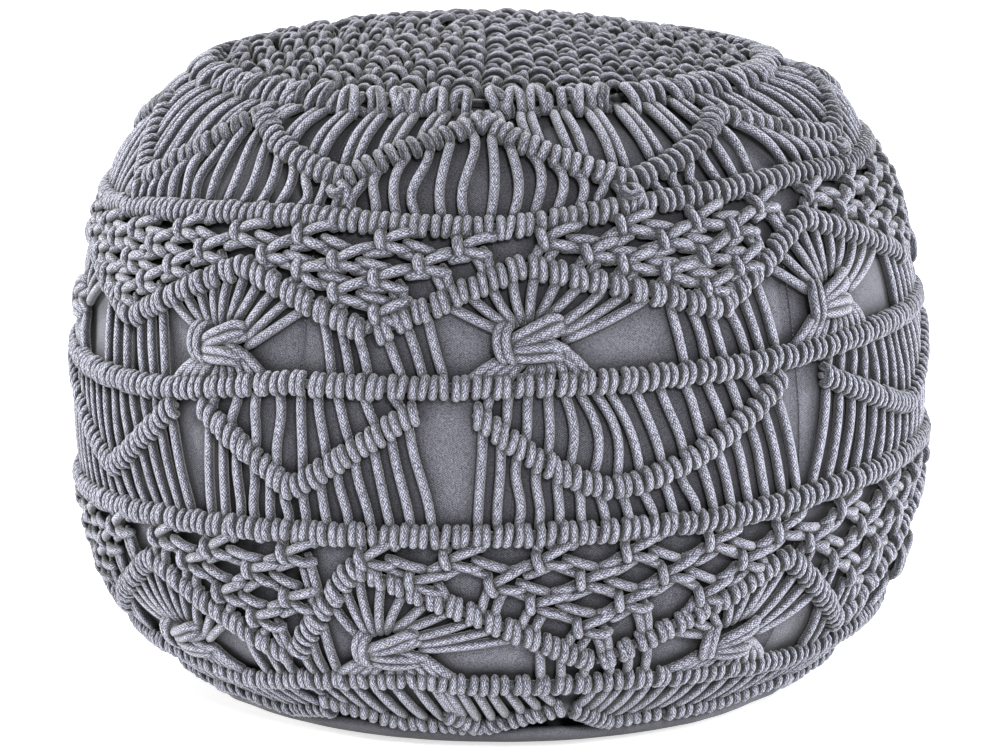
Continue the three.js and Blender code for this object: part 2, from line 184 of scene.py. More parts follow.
# Pitch of the strands above each middle arc and their bow to the right, in millimetres
MIDDLE_CORDS = [(13, 1), (19, 2), (14, 8), (13, 1), (15, 3), (14, 5), (17, 1), (14, 4)]

# Roofs over the lower fans
LOWER_ROOFS = [
    [(-117, 63), (-94, 117), (-74, 62)],
    [(-74, 60), (-54, 112), (-31, 60)],
    [(-29.5, 64), (-19, 122.5), (13, 60)],
    [(13.5, 60), (41, 107), (57, 55)],
    [(58, 58), (81, 116), (104, 60)],
    [(104, 60), (127, 120), (150, 64)],
    [(150, 64), (173, 117), (196, 61)],
    [(196, 61), (220, 119), (243, 63)],
]

# Scallops round the foot, from one gathered end to the next
SCALLOPS = [
    [(-53, 22), (-42, 12.5), (-30, 20)],
    [(-29.5, 30), (-18, 15.5), (-4, 12)],
    [(-9, 24), (-3, 12.5), (10, 29)],
    [(11.5, 27), (19, 13.5), (28.5, 17)],
    [(30, 15), (40, 15), (53, 23)],
]
# The hidden scallops: where the first starts, how many there are, and their levels
SCALLOP_FIRST = 54.5
SCALLOP_COUNT = 12
SCALLOP_END = 21
SCALLOP_LOW = 12.5

# Cords from the lowest ring to each scallop, and how far they slant, in degrees
FOOT_CORDS = 8
FOOT_SLANT = 3.5

# Middles of the fans' large knots: azimuth and level
UPPER_FANS = [(-83, 244), (-39.6, 242.4), (3.8, 244.6), (49.9, 245), (96, 244), (141, 243),
              (187, 245), (232, 244)]
LOWER_FANS = [(-94, 71), (-51.8, 60.5), (-15.5, 71.5), (33.3, 64), (81, 72), (127, 73),
              (173, 71), (220, 72)]

# Nets of square knots: how far each row of knots hangs below its ring, and how thick the upper
# net's cord is against the others
UPPER_NET_THICKNESS = 1.06
UPPER_NET_DROPS = [10.4, 20.0, 29.6, 39.2, 48.8, 58.4]
LOWER_NET_DROPS = [12.4, 26.4, 40.4, 54.4, 68.4]

# Top: runs of its first and last round of knots, a knot's width and the most that it is
# stretched, run and lift of the closed ring in the middle, and how thick the cord is there
# against the cover's
TOP_FIRST_RUN = 9
TOP_LAST_RUN = 147
TOP_KNOT_WIDTH = 28.5
TOP_KNOT_STRETCH = 1.06
TOP_RING_RUN = 4.5
TOP_RING_LIFT = 7.0
TOP_THICKNESS = 0.85
# Share of its run by which a round of the top lies further left
TOP_SHIFT = 0.045

# Rim: its loops, the runs of the loops and of the pegs between them, where the cords below them
# start, and how much of an arc a pair of those takes up. Some of the pegs are left out.
RIM_LOOPS = 76
RIM_RUN = 159.0
PEG_RUN = 161.0
BELOW_RIM_RUN = 171.0
RIM_PAIR_PITCH = 24
PEGS_LEFT_OUT = 0.45
PEG = [(0, 4.0, 2.0), (0.4, 1.0, 6.0), (0.6, -3.5, 6.6), (0.2, -8.5, 5.4), (0, -12.0, 2.0)]
PEG_CROSS = [(-9, -9.5, 0.8), (-4, -8.0, 2.4), (3, -8.4, 2.4), (8, -10.0, 0.8)]

# Casing panels: their upright seams, in degrees to the right of the front, and in millimetres the
# radius of the casing there, and the width and depth of a seam's crease
SEAMS = [-27.6, 42.3, 116, 188, 260]
SEAM_RADIUS = 240
SEAM_WIDTH = 3.2
SEAM_DEPTH = 2.0

# Stitches beside the seams: their first and last run, their pitch, how far they lie to the right
# of the seam, and a stitch's shape as run and lift
STITCH_FIRST_RUN = 190
STITCH_LAST_RUN = 545
STITCH_PITCH = 2.6
STITCH_OFFSET = 3.4
STITCH = np.array([(-0.75, -0.5), (-0.3, 0.25), (0.3, 0.25), (0.75, -0.5)])

# Casing: its columns, the runs of its rows, its lift on the side and under the top, how high its
# small puffs stand, and the share of its swell that the cords leave
CASING_COLUMNS = 300
CASING_RUNS = np.concatenate([np.arange(1.5, 560, 4.0), np.linspace(563, 625, 18)])
CASING_LIFT = -0.9
UNDER_TOP_LIFT = -1.2
PUFF_HEIGHT = 0.35
SWELL_SHARE = 0.55

# Heights between which the casing swells
CASING_SWELLS = [(66, 140), (140, 221), (221, 285), (300, 352)]

# The casing lies smooth under the top above one height and loses its seam creases below
# another. Its side ends at the cut, where its drawn-in foot follows as radius and height.
UNDER_TOP_HEIGHT = 362
CASING_FOOT_HEIGHT = 30
CASING_CUT = 14.8
CASING_FOOT = [(172, 11.5), (158, 7.5), (146, BASE_TOP + 0.7), (120, BASE_TOP + 0.4),
               (60, BASE_TOP + 0.4), (2, BASE_TOP + 0.4)]

# Base cloth: its columns, and its section as radius, height and how loosely its edge puckers
BASE_COLUMNS = 264
BASE_SECTION = [(2, 0, 0), (70, 0, 0), (139, 0, 0), (150, 1.2, 0), (160, 3.6, 0.15),
                (167, 6.2, 0.4), (173, 9.2, 0.8), (175.2, 12.2, 1), (175.6, 15.2, 1),
                (174.2, 16.2, 0.9), (172.6, 15.0, 0.7), (171.4, 12.6, 0.5), (166.5, 10.6, 0.2),
                (158, 6.8, 0), (146, BASE_TOP, 0), (120, BASE_TOP, 0), (60, BASE_TOP, 0),
                (2, BASE_TOP, 0)]

# Camera that sees the photograph's picture: place in metres, tilt in degrees, lens and sensor
CAMERA_PLACE = (0, -2.945, 0.762)
CAMERA_TILT = 78.824
CAMERA_LENS = 186.74
CAMERA_SENSOR = 36

# Soft suns: name, direction towards the sun, spread in degrees, strength and colour
SUNS = [
    ("key", (0.2, -1.0, 0.52), 12, 3.4, (1.0, 0.99, 0.98)),
    ("overhead", (-0.45, 0.35, 0.85), 8, 3.8, (1.0, 1.0, 1.0)),
    ("side", (1.0, 0.25, 0.2), 14, 3.6, (0.93, 0.96, 1.0)),
    ("edge", (-1.0, 0.3, 0.2), 12, 3.6, (1.0, 0.98, 0.96)),
]
SKY_LIGHT = 0.07
FLOOR_SIZE = 60
FLOOR_GLOW = 0.7

# Small differences between the cords, drawn in a fixed order
RNG = np.random.default_rng(41)


# Surface of the pouf

def soften(values, width):
    """Smooths a row of values over an odd number of them, and keeps the row's length."""
    window = np.hanning(width)
    window /= window.sum()
    return np.convolve(np.pad(values, width // 2, mode="edge"), window, mode="valid")


def turned_within(azimuth):
    """The same azimuth between -180 and 180 degrees."""
    return (azimuth + 180) % 360 - 180


def round_points(radius, azimuth, height):
    """Points in metres round the pouf's axis, from millimetres and degrees."""
    angle = np.radians(azimuth)
    radius, angle, height = np.broadcast_arrays(radius, angle, height)
    return np.stack([radius * np.sin(angle), -radius * np.cos(angle), height], axis=-1) * MM


def side_curve(steps):
    """Smooth curve through the side profile."""
    rows = SIDE_PROFILE
    last = len(rows) - 1
    share = np.linspace(0, 1, steps, endpoint=False)[:, None]
    parts = []
    for index in range(last):
        before = rows[max(index - 1, 0)]
        start = rows[index]
        end = rows[index + 1]
        after = rows[min(index + 2, last)]
        enter = (end - before) / 2
        leave = (after - start) / 2
        parts.append((2 * start - 2 * end + enter + leave) * share ** 3
                     + (3 * end - 3 * start - 2 * enter - leave) * share ** 2
                     + enter * share + start)
    parts.append(rows[last:])
    return np.concatenate(parts)


def whole_profile():
    """Run, radius, height and outward normal from the crown to the floor."""
    radii = np.linspace(0, SHOULDER_RADIUS, 161)[:-1]
    dome = CROWN - (CROWN - SHOULDER_LEVEL) * (radii / SHOULDER_RADIUS) ** 2
    side = side_curve(24)[::-1]
    radius = np.concatenate([radii, side[:, 1]])
    height = np.concatenate([dome, side[:, 0]])
    run = np.concatenate([[0], np.cumsum(np.hypot(np.diff(radius), np.diff(height)))])
    even = np.arange(0, run[-1], 1.0)
    radius = np.interp(even, run, radius)
    height = np.interp(even, run, height)
    across = soften(np.gradient(radius), 17)
    down = soften(-np.gradient(height), 17)
    length = np.hypot(across, down)
    return even, radius, height, down / length, across / length


RUN, RADIUS, HEIGHT, OUT, UP = whole_profile()


def radius_at(run):
    """Radius of the cover at a run."""
    return np.interp(run, RUN, RADIUS)


def run_at(azimuth, level):
    """Run of a level on the askew cover."""
    rise = np.interp(level, SKEW_LEVELS, SKEW_RISES)
    height = level + rise * np.sin(np.radians(azimuth))
    return np.interp(-height, -HEIGHT, RUN)


def unevenness(azimuth, run):
    """How far the filled pouf swells or sinks at a place, in millimetres."""
    swell = np.zeros(np.shape(azimuth))
    for height, middle, width, low, depth in SWELLS:
        apart = turned_within(azimuth - middle)
        swell = swell + height * np.exp(-(apart / width) ** 2 - ((run - low) / depth) ** 2)
    return swell


def on_surface(azimuth, run, lift):
    """Points in metres at a lift over the casing's skin."""
    azimuth, run, lift = np.broadcast_arrays(azimuth, run, lift)
    inward = COVER_DEPTH - lift - unevenness(azimuth, run)
    radius = np.interp(run, RUN, RADIUS) - inward * np.interp(run, RUN, OUT)
    height = np.interp(run, RUN, HEIGHT) - inward * np.interp(run, RUN, UP)
    return round_points(radius, azimuth, height)


def beside(azimuth, run, right, up):
    """Azimuth and run of a place that lies right and up of another, in millimetres."""
    lower = run - up
    return azimuth + np.degrees(right / np.maximum(radius_at(lower), 4)), lower


def smooth_path(points, count):
    """Resamples a short row of points along a soft curve."""
    points = np.asarray(points, dtype=float)
    before = 2 * points[:1] - points[1:2]
    after = 2 * points[-1:] - points[-2:-1]
    padded = np.concatenate([before, points, after])
    place = np.linspace(0, len(points) - 1, count)
    index = np.minimum(place.astype(int), len(points) - 2)
    share = (place - index)[:, None]
    a, b, c, d = (padded[index + step] for step in range(4))
    return 0.5 * (2 * b + (c - a) * share + (2 * a - 5 * b + 4 * c - d) * share ** 2
                  + (3 * b - a - 3 * c + d) * share ** 3)


def top_run(azimuth, run):
    """Run of a round of the top, which sits a little to the left."""
    return run * (1 - TOP_SHIFT * np.sin(np.radians(azimuth)))


# Meshes

# Thickness of a cord at its two ends, which tuck away, against the rest of it
END_THICKNESS = 0.72


def new_object(name, mesh, material):
    """Object of a mesh and its material, put into the scene."""
    mesh.materials.append(material)
    obj = bpy.data.objects.new(name, mesh)
    bpy.context.scene.collection.objects.link(obj)
    return obj


def mesh_from_arrays(name, points, faces, sizes, uvs):
    """Mesh from flat arrays of corner indices, face sizes and texture coordinates."""
    mesh = bpy.data.meshes.new(name)
    mesh.vertices.add(len(points))
    mesh.vertices.foreach_set("co", np.ascontiguousarray(points, dtype=np.float32).ravel())
    mesh.loops.add(len(faces))
    mesh.loops.foreach_set("vertex_index", np.ascontiguousarray(faces, dtype=np.int32))
    mesh.polygons.add(len(sizes))
    starts = np.concatenate([[0], np.cumsum(sizes)[:-1]])
    mesh.polygons.foreach_set("loop_start", starts.astype(np.int32))
    mesh.update(calc_edges=True)
    layer = mesh.uv_layers.new(name="cord")
    layer.data.foreach_set("uv", np.ascontiguousarray(uvs, dtype=np.float32).ravel())
    mesh.shade_smooth()
    mesh.validate()
    return mesh


def corner_uvs(*corners):
    """Texture coordinates of faces, from the across and along of each of their corners."""
    return np.stack([np.stack(np.broadcast_arrays(*corner), axis=-1) for corner in corners],
                    axis=-2)


def cord_tubes(paths, radius, sides):
    """Corner, face and texture arrays of round cords that follow equally long paths."""
    # Each cord's first cross direction is square to the way out of the pouf and is then carried
    # along the cord, so that the tube doesn't twist
    path = np.stack(paths)
    count, length = path.shape[:2]
    tangent = np.gradient(path, axis=1)
    tangent /= np.linalg.norm(tangent, axis=2, keepdims=True)
    outward = path[:, 0] * [1, 1, 0.25]
    normal = np.empty_like(path)
    first = np.cross(tangent[:, 0], outward)
    first /= np.linalg.norm(first, axis=1, keepdims=True)
    normal[:, 0] = first
    for step in range(1, length):
        carried = normal[:, step - 1]
        along = tangent[:, step]
        carried = carried - along * (carried * along).sum(axis=1, keepdims=True)
        normal[:, step] = carried / np.linalg.norm(carried, axis=1, keepdims=True)
    binormal = np.cross(tangent, normal)
    taper = np.ones(length)
    taper[0] = taper[-1] = END_THICKNESS
    angle = np.linspace(0, 2 * math.pi, sides, endpoint=False)
    swing = (np.cos(angle)[:, None] * normal[:, :, None]
             + np.sin(angle)[:, None] * binormal[:, :, None])
    points = path[:, :, None] + swing * (radius * taper)[None, :, None, None]
    place = np.arange(count * length * sides).reshape(count, length, sides)
    near = place[:, :-1]
    far = place[:, 1:]
    quads = np.stack([near, np.roll(near, -1, axis=2), np.roll(far, -1, axis=2), far], axis=-1)
    steps = np.linalg.norm(np.diff(path, axis=1), axis=2)
    travel = np.concatenate([np.zeros((count, 1)), np.cumsum(steps, axis=1)], axis=1)
    travel = travel / (2 * math.pi * radius) + RNG.random((count, 1))
    around = np.arange(sides) / sides
    low, high = travel[:, :-1, None], travel[:, 1:, None]
    left, right = around, around + 1 / sides
    quad_uvs = corner_uvs((left, low), (right, low), (right, high), (left, high))
    caps = np.concatenate([place[:, 0, ::-1], place[:, -1]])
    cap_uvs = np.stack([np.broadcast_to(around, caps.shape), np.zeros(caps.shape)], axis=-1)
    faces = np.concatenate([quads.ravel(), caps.ravel()])
    sizes = np.concatenate([np.full(quads.size // 4, 4), np.full(len(caps), sides)])
    uvs = np.concatenate([quad_uvs.reshape(-1, 2), cap_uvs.reshape(-1, 2)])
    return points.reshape(-1, 3), faces, sizes, uvs


def cord_object(name, paths, material, radius, sides=8):
    """One object of many cords. Each path is an array of points in metres."""
    groups = {}
    for path in paths:
        groups.setdefault(len(path), []).append(path)
    parts = []
    offset = 0
    for group in groups.values():
        points, faces, sizes, uvs = cord_tubes(group, radius, sides)
        parts.append((points, faces + offset, sizes, uvs))
        offset += len(points)
    points, faces, sizes, uvs = (np.concatenate(rows) for rows in zip(*parts))
    return new_object(name, mesh_from_arrays(name, points, faces, sizes, uvs), material)


def grid_object(name, grid, material):
    """One object from rows of points that run right round the pouf, closed at both ends."""
    rows, columns = grid.shape[:2]
    points = grid.reshape(-1, 3)
    place = np.arange(rows * columns).reshape(rows, columns)
    beyond = np.roll(place, -1, axis=1)
    quads = np.stack([place[:-1], place[1:], beyond[1:], beyond[:-1]], axis=-1).reshape(-1, 4)
    steps = np.linalg.norm(np.diff(grid, axis=0), axis=2).mean(axis=1)
    travel = np.concatenate([[0], np.cumsum(steps)])
    turn = np.arange(columns + 1) / columns
    left, right = turn[:-1], turn[1:]
    low, high = travel[:-1, None], travel[1:, None]
    uvs = corner_uvs((left, low), (left, high), (right, high), (right, low))
    faces = [quads.ravel()]
    sizes = [np.full(len(quads), 4)]
    all_uvs = [uvs.reshape(-1, 2)]
    for ring in (place[0], place[-1][::-1]):
        faces.append(ring)
        sizes.append(np.array([columns]))
        all_uvs.append(points[ring][:, :2])
    mesh = mesh_from_arrays(name, points, np.concatenate(faces), np.concatenate(sizes),
                            np.concatenate(all_uvs))
    return new_object(name, mesh, material)


# Bars of wrapped cord

# Places along a level ring, and along each fall or climb of an arc
RING_STEPS = 1441
BEND_STEPS = 60


class Bar:
    """A holding cord laid on the surface through places given as azimuth and level."""

    def __init__(self, places, closed=False, bend=(1.0, 1.0)):
        places = [(float(azimuth), float(level)) for azimuth, level in places]
        if closed:
            places = sorted(places)
            azimuths = np.array([azimuth for azimuth, level in places])
            levels = np.array([level for azimuth, level in places])
            self.azimuth = np.linspace(-180, 180, RING_STEPS)
            self.level = smooth_round(azimuths, levels, self.azimuth)
        else:
            parts = []
            for start, end in zip(places, places[1:]):
                share = np.linspace(0, 1, BEND_STEPS)
                azimuth = start[0] + (end[0] - start[0]) * share
                falls = start[1] > end[1]
                part = 1 - (1 - share) ** bend[0] if falls else share ** bend[1]
                parts.append(np.stack([azimuth, start[1] + (end[1] - start[1]) * part], axis=1))
            rows = np.concatenate([parts[0]] + [part[1:] for part in parts[1:]])
            self.azimuth = rows[:, 0]
            self.level = soften(rows[:, 1], 9)
        self.run = run_at(self.azimuth, self.level)
        middle = (radius_at(self.run[1:]) + radius_at(self.run[:-1])) / 2
        right = np.radians(np.diff(self.azimuth)) * middle
        up = -np.diff(self.run)
        self.travel = np.concatenate([[0], np.cumsum(np.hypot(right, up))])
        self.length = self.travel[-1]

    def at(self, share):
        """Azimuth, run and direction to the right and up at shares of the bar's length."""
        travel = np.asarray(share) * self.length
        azimuth = np.interp(travel, self.travel, self.azimuth)
        run = np.interp(travel, self.travel, self.run)
        ahead = np.minimum(travel + 2, self.length)
        behind = np.maximum(travel - 2, 0)
        right = np.radians(np.interp(ahead, self.travel, self.azimuth)
                           - np.interp(behind, self.travel, self.azimuth)) * radius_at(run)
        up = np.interp(behind, self.travel, self.run) - np.interp(ahead, self.travel, self.run)
        size = np.hypot(right, up)
        return azimuth, run, right / size, up / size

    def counted_on(self, azimuth):
        """The same azimuth, counted on to the right from the bar's start."""
        return (np.asarray(azimuth) - self.azimuth[0]) % 360 + self.azimuth[0]

    def run_under(self, azimuth):
        """Run of the bar at an azimuth."""
        return np.interp(self.counted_on(azimuth), self.azimuth, self.run)

    def level_under(self, azimuth):
        """Level of the bar at an azimuth."""
        return np.interp(self.counted_on(azimuth), self.azimuth, self.level)


def smooth_round(azimuths, levels, wanted):
    """Soft curve right round the pouf through the given levels."""
    azimuths = np.concatenate([azimuths - 360, azimuths, azimuths + 360])
    levels = np.tile(levels, 3)
    dense = np.arange(-260, 260, 0.5)
    return np.interp(wanted, dense, soften(np.interp(dense, azimuths, levels), 25))


def holding_cord(bar, lift=4.2):
    """The cord that the wraps go round."""
    count = max(int(bar.length / 6), 6)
    azimuth, run = bar.at(np.linspace(0, 1, count))[:2]
    return on_surface(azimuth, run, lift)


def wraps(bar, pairing, lean, upright=0.75, pitch=WRAP_PITCH, reach=WRAP_REACH, lift=WRAP_LIFT):
    """Two turns of each cord round the bar. Pairing draws the two turns together.

    Upright is how far the turns stand up from square to the bar where it slopes.
    """
    cords = round(bar.length / (2 * pitch))
    slot = np.repeat(np.arange(cords), 2)
    half = np.tile([-0.25, 0.25], cords)
    share = (slot + 0.5 + half * (1 - pairing)) / cords
    share = share + RNG.normal(0, 0.035 / cords, len(share))
    azimuth, run, right, up = bar.at(np.clip(share, 0, 1))
    turn = np.radians(np.linspace(-WRAP_TURN, WRAP_TURN, 8))
    steepness = np.clip(up / np.maximum(right, 0.3), -1.1, 1.1)
    slant = RNG.normal(lean, 0.45, len(share)) + upright * reach * steepness
    size = 1 + RNG.normal(0, 0.045, len(share))
    shift = RNG.normal(0, 0.35, len(share))
    across = reach * size[:, None] * np.sin(turn) + shift[:, None]
    along = slant[:, None] * np.sin(turn) + 0.5 * np.cos(turn)
    height = lift + WRAP_ARCH * size[:, None] * np.cos(turn)
    sideways = along * right[:, None] - across * up[:, None]
    upward = along * up[:, None] + across * right[:, None]
    places = beside(azimuth[:, None], run[:, None], sideways, upward)
    return list(on_surface(*places, height))


def strand(start, end, bow=0.0, wave=0.0, lift=2.5, swell=0.8, count=9):
    """Cord between two places given as azimuth and run, bowed to the right and waved.

    The lift is one number, or three for the cord's start, middle and end.
    """
    share = np.linspace(0, 1, count)
    azimuth = start[0] + (end[0] - start[0]) * share
    run = start[1] + (end[1] - start[1]) * share
    right = bow * np.sin(math.pi * share) + wave * np.sin(2 * math.pi * share)
    azimuth = azimuth + np.degrees(right / np.maximum(radius_at(run), 4))
    if isinstance(lift, tuple):
        height = smooth_path(np.array(lift)[:, None], count)[:, 0]
    else:
        height = lift + swell * np.sin(math.pi * share)
    return on_surface(azimuth, run, height)


def hang(arc, ring, slips, downwards, pitch, wave, bow, lift=2.6, swell=0.8):
    """Cords between an arc and a level ring above or below it, in the arc's own order.

    Slips are how far they slip round the pouf, and bow gives each one's bow from its share of
    the arc.
    """
    cords = round(arc.length / pitch)
    share = (np.arange(cords) + 0.5) / cords
    azimuth, run = arc.at(share)[:2]
    ring_azimuth = azimuth + np.interp(share, np.linspace(0, 1, len(slips)), slips)
    ring_run = ring.run_under(ring_azimuth)
    tuck = STRAND_TUCK if downwards else -STRAND_TUCK
    paths = []
    for index in range(cords):
        on_arc = (azimuth[index], run[index] + tuck)
        on_ring = (ring_azimuth[index], ring_run[index] - tuck)
        start, end = (on_arc, on_ring) if downwards else (on_ring, on_arc)
        if end[1] - start[1] >= SHORTEST_STRAND:
            paths.append(strand(start, end, bow(index / cords), wave * RNG.normal(0, 1), lift,
                                swell + 0.6 * RNG.random(), 10))
    return paths


# Knots. Each row is right, up and lift in millimetres from the knot's middle.
NET_KNOT = [
    [(-8.4, 4.8, 3.0), (-9.0, 2.6, 7.4), (-8.5, -0.6, 8.6), (-7.7, -3.4, 7.4), (-6.8, -5.2, 3.0)],
    [(-6.6, -0.6, 4.4), (-2.5, 2.2, 7.0), (2.5, 4.4, 7.7), (7.5, 6.4, 6.6), (10.6, 7.8, 3.4)],
    [(-5.8, -1.8, 4.8), (0.0, -3.4, 7.0), (4.6, -4.2, 6.9), (9.6, -4.2, 3.6)],
]

# Cords that leave a net knot for the next ones down to its left (-1) and right (1): where each
# leaves it and enters the next, right and up of their middles, and the cord's lift on its way
NET_CORDS = {
    -1: [((-7.6, -2.0), (1.5, 5.4), (3.0, 5.8, 3.6)), ((-1.0, -4.8), (8.4, 2.6), (3.4, 5.2, 4.2))],
    1: [((4.4, 0.2), (0.8, 5.8), (4.6, 6.2, 3.6)), ((1.0, -4.6), (-7.8, 2.5), (3.2, 4.6, 3.0))],
}

# Cords from the ring down into each knot of a net's first row: right and up of its middle
NET_HANGERS = [(-7.6, 3.5), (-1.5, 5.6), (3.5, 5.6), (9.0, 5.0)]

TOP_KNOT = [
    [(-12.6, 4.6, 1.0), (-12.9, 2.6, 6.6), (-12.7, -0.4, 9.2), (-12.4, -3.6, 7.2),
     (-12.2, -6.0, 1.0)],
    [(-10.4, 1.8, 1.2), (-8.4, 3.8, 7.0), (-4.0, 4.8, 9.6), (1.4, 3.6, 8.8), (5.2, 0.2, 4.8),
     (6.2, -2.6, 1.0)],
    [(-9.6, -3.6, 1.0), (-6.6, -2.2, 5.6), (-2.4, -1.8, 7.2), (1.0, -3.2, 4.8), (2.2, -5.2, 1.0)],
    [(4.6, 5.0, 1.0), (7.2, 4.8, 6.0), (10.6, 3.4, 7.4), (13.0, 0.8, 4.8), (13.6, -1.4, 1.0)],
    [(-5.0, -7.0, 0.2), (0.5, -7.6, 1.4), (7.0, -6.4, 1.6), (12.0, -4.6, 0.4)],
]

VALLEY_KNOT = [
    [(-5.5, 2.5, 3.0), (-5.8, -1.5, 7.0), (-2.0, -4.2, 8.0), (2.4, -1.6, 8.4), (3.4, 2.8, 5.0)],
    [(-3.0, 4.0, 3.5), (0.6, 2.2, 7.4), (4.4, -1.6, 7.8), (4.6, -6.5, 5.0), (2.0, -9.5, 2.5)],
]

FAN_KNOT = [
    [(-12.5, 11.0, 3.0), (-16.2, 6.5, 7.2), (-17.2, 0.0, 8.2), (-15.6, -6.5, 7.4),
     (-11.8, -11.5, 3.0)],
    [(-8.6, 10.6, 3.2), (-12.0, 6.2, 7.8), (-12.8, -0.5, 8.9), (-11.0, -7.0, 7.8),
     (-7.4, -11.6, 3.0)],
    [(-11.5, -0.5, 5.4), (-5.0, 4.2, 8.0), (4.0, 8.6, 8.9), (12.5, 12.4, 7.8), (18.5, 11.6, 4.0)],
    [(-11.0, -3.0, 5.0), (-4.0, 0.2, 7.6), (5.0, 3.6, 8.7), (13.0, 7.4, 7.6), (18.0, 9.0, 3.6)],
    [(-11.0, -4.6, 5.2), (-4.0, -4.0, 7.8), (5.0, -3.6, 8.6), (13.0, -4.0, 7.4),
     (18.0, -7.0, 3.6)],
    [(-10.5, -7.4, 4.8), (-3.0, -8.8, 7.4), (6.0, -8.6, 8.2), (13.5, -8.2, 6.8),
     (18.0, -10.5, 3.2)],
    [(4.0, -0.6, 5.4), (9.0, 2.6, 6.4), (14.0, 4.0, 5.6), (21.0, 6.5, 3.2)],
    [(6.0, 1.0, 4.8), (11.0, -0.2, 6.2), (16.0, -2.4, 5.6), (22.0, -5.5, 3.2)],
]

# Where the fan's rays enter its large knot and its feet leave it, right and up of its middle
FAN_ENTRIES = [(-14.0, 5.0), (-11.0, 8.5), (-6.5, 8.0), (-3.0, 9.0), (0.5, 10.0),
               (5.0, 12.0), (9.5, 12.5), (15.5, 8.0), (17.5, 3.5), (18.5, 0.0)]
FAN_EXITS = [(-13.0, -8.0), (-10.5, -9.5), (-5.5, -9.5), (-2.0, -10.0), (1.5, -10.5),
             (5.0, -10.0), (9.0, -9.5), (13.0, -8.0), (16.5, -6.0), (17.5, -3.5)]
# Cords of each repeat left of the fan that hang down as plain posts
FAN_POSTS = 3


def knot(shape, azimuth, run, size=1.0, tilt=0.0, count=9, lift=0.0):
    """Cords of one knot at a place on the surface, turned by a tilt in degrees."""
    turn = math.radians(tilt)
    paths = []
    for rows in shape:
        rows = smooth_path(rows, count)
        right = rows[:, 0] * size + RNG.normal(0, 0.25)
        up = rows[:, 1] * size + RNG.normal(0, 0.25)
        sideways = right * math.cos(turn) - up * math.sin(turn)
        upward = right * math.sin(turn) + up * math.cos(turn)
        places = beside(azimuth, run, sideways, upward)
        paths.append(on_surface(*places, rows[:, 2] + lift))
    return paths


def knot_exit(azimuth, run, right, up):
    """Place beside a knot where a cord enters or leaves it."""
    new_azimuth, new_run = beside(azimuth, run, right, up)
    return float(new_azimuth), float(new_run)


def net_band(ring, roofs, drops, first, margin, size):
    """Rows of square knots between a ring and the roofs below it, with the cords between.

    First is the azimuth of the first knot, and margin its least height over the roofs.
    """
    spacing = 360 / (CORDS / 4)
    placed = {}
    for row, drop in enumerate(drops):
        for column in range(CORDS // 4):
            azimuth = turned_within(first + spacing * (column + 0.5 * (row % 2)))
            roof_level = roof_level_at(roofs, azimuth)
            level = float(ring.level_under(azimuth)) - drop
            if level - roof_level < margin:
                continue
            azimuth = azimuth + RNG.normal(0, 0.25)
            run = float(run_at(azimuth, level + RNG.normal(0, 0.8)))
            placed[(row, column)] = (azimuth, run)
    paths = []
    for (row, column), (azimuth, run) in placed.items():
        paths += knot(NET_KNOT, azimuth, run, size=size * RNG.normal(1.0, 0.03),
                      tilt=RNG.normal(0, 5))
        if row == 0:
            for right, up in NET_HANGERS:
                low = knot_exit(azimuth, run, right, up)
                high_azimuth = azimuth + np.degrees(1.5 * right / radius_at(run))
                high = (high_azimuth, float(ring.run_under(high_azimuth)) + BAR_TUCK)
                if low[1] - high[1] > SHORTEST_NET_CORD:
                    paths.append(strand(high, low, count=6, lift=3.2, swell=1.4))
        for side in (-1, 1):
            below = (row + 1, (column + ((row % 2) + (side - 1) // 2)) % (CORDS // 4))
            for leave, enter, lifts in NET_CORDS[side]:
                start = knot_exit(azimuth, run, leave[0] * size, leave[1] * size)
                if below in placed:
                    end = knot_exit(*placed[below], enter[0] * size, enter[1] * size)
                    end = (start[0] + turned_within(end[0] - start[0]), end[1])
                    paths.append(strand(start, end, bow=side * 0.9, lift=lifts))
                else:
                    end_azimuth = start[0] + side * 1.4
                    end = (end_azimuth, roof_run_at(roofs, end_azimuth) - BAR_TUCK)
                    if end[1] - start[1] > SHORTEST_NET_CORD:
                        paths.append(strand(start, end, bow=side * 0.9, lift=3.4, swell=1.0))
    return paths


def roof_level_at(roofs, azimuth):
    """Level of the row of roofs at an azimuth."""
    for roof in roofs:
        if roof.counted_on(azimuth) <= roof.azimuth[-1]:
            return float(roof.level_under(azimuth))
    return float(min(roof.level[0] for roof in roofs))


def roof_run_at(roofs, azimuth):
    """Run of the row of roofs at an azimuth."""
    return float(run_at(azimuth, roof_level_at(roofs, azimuth)))


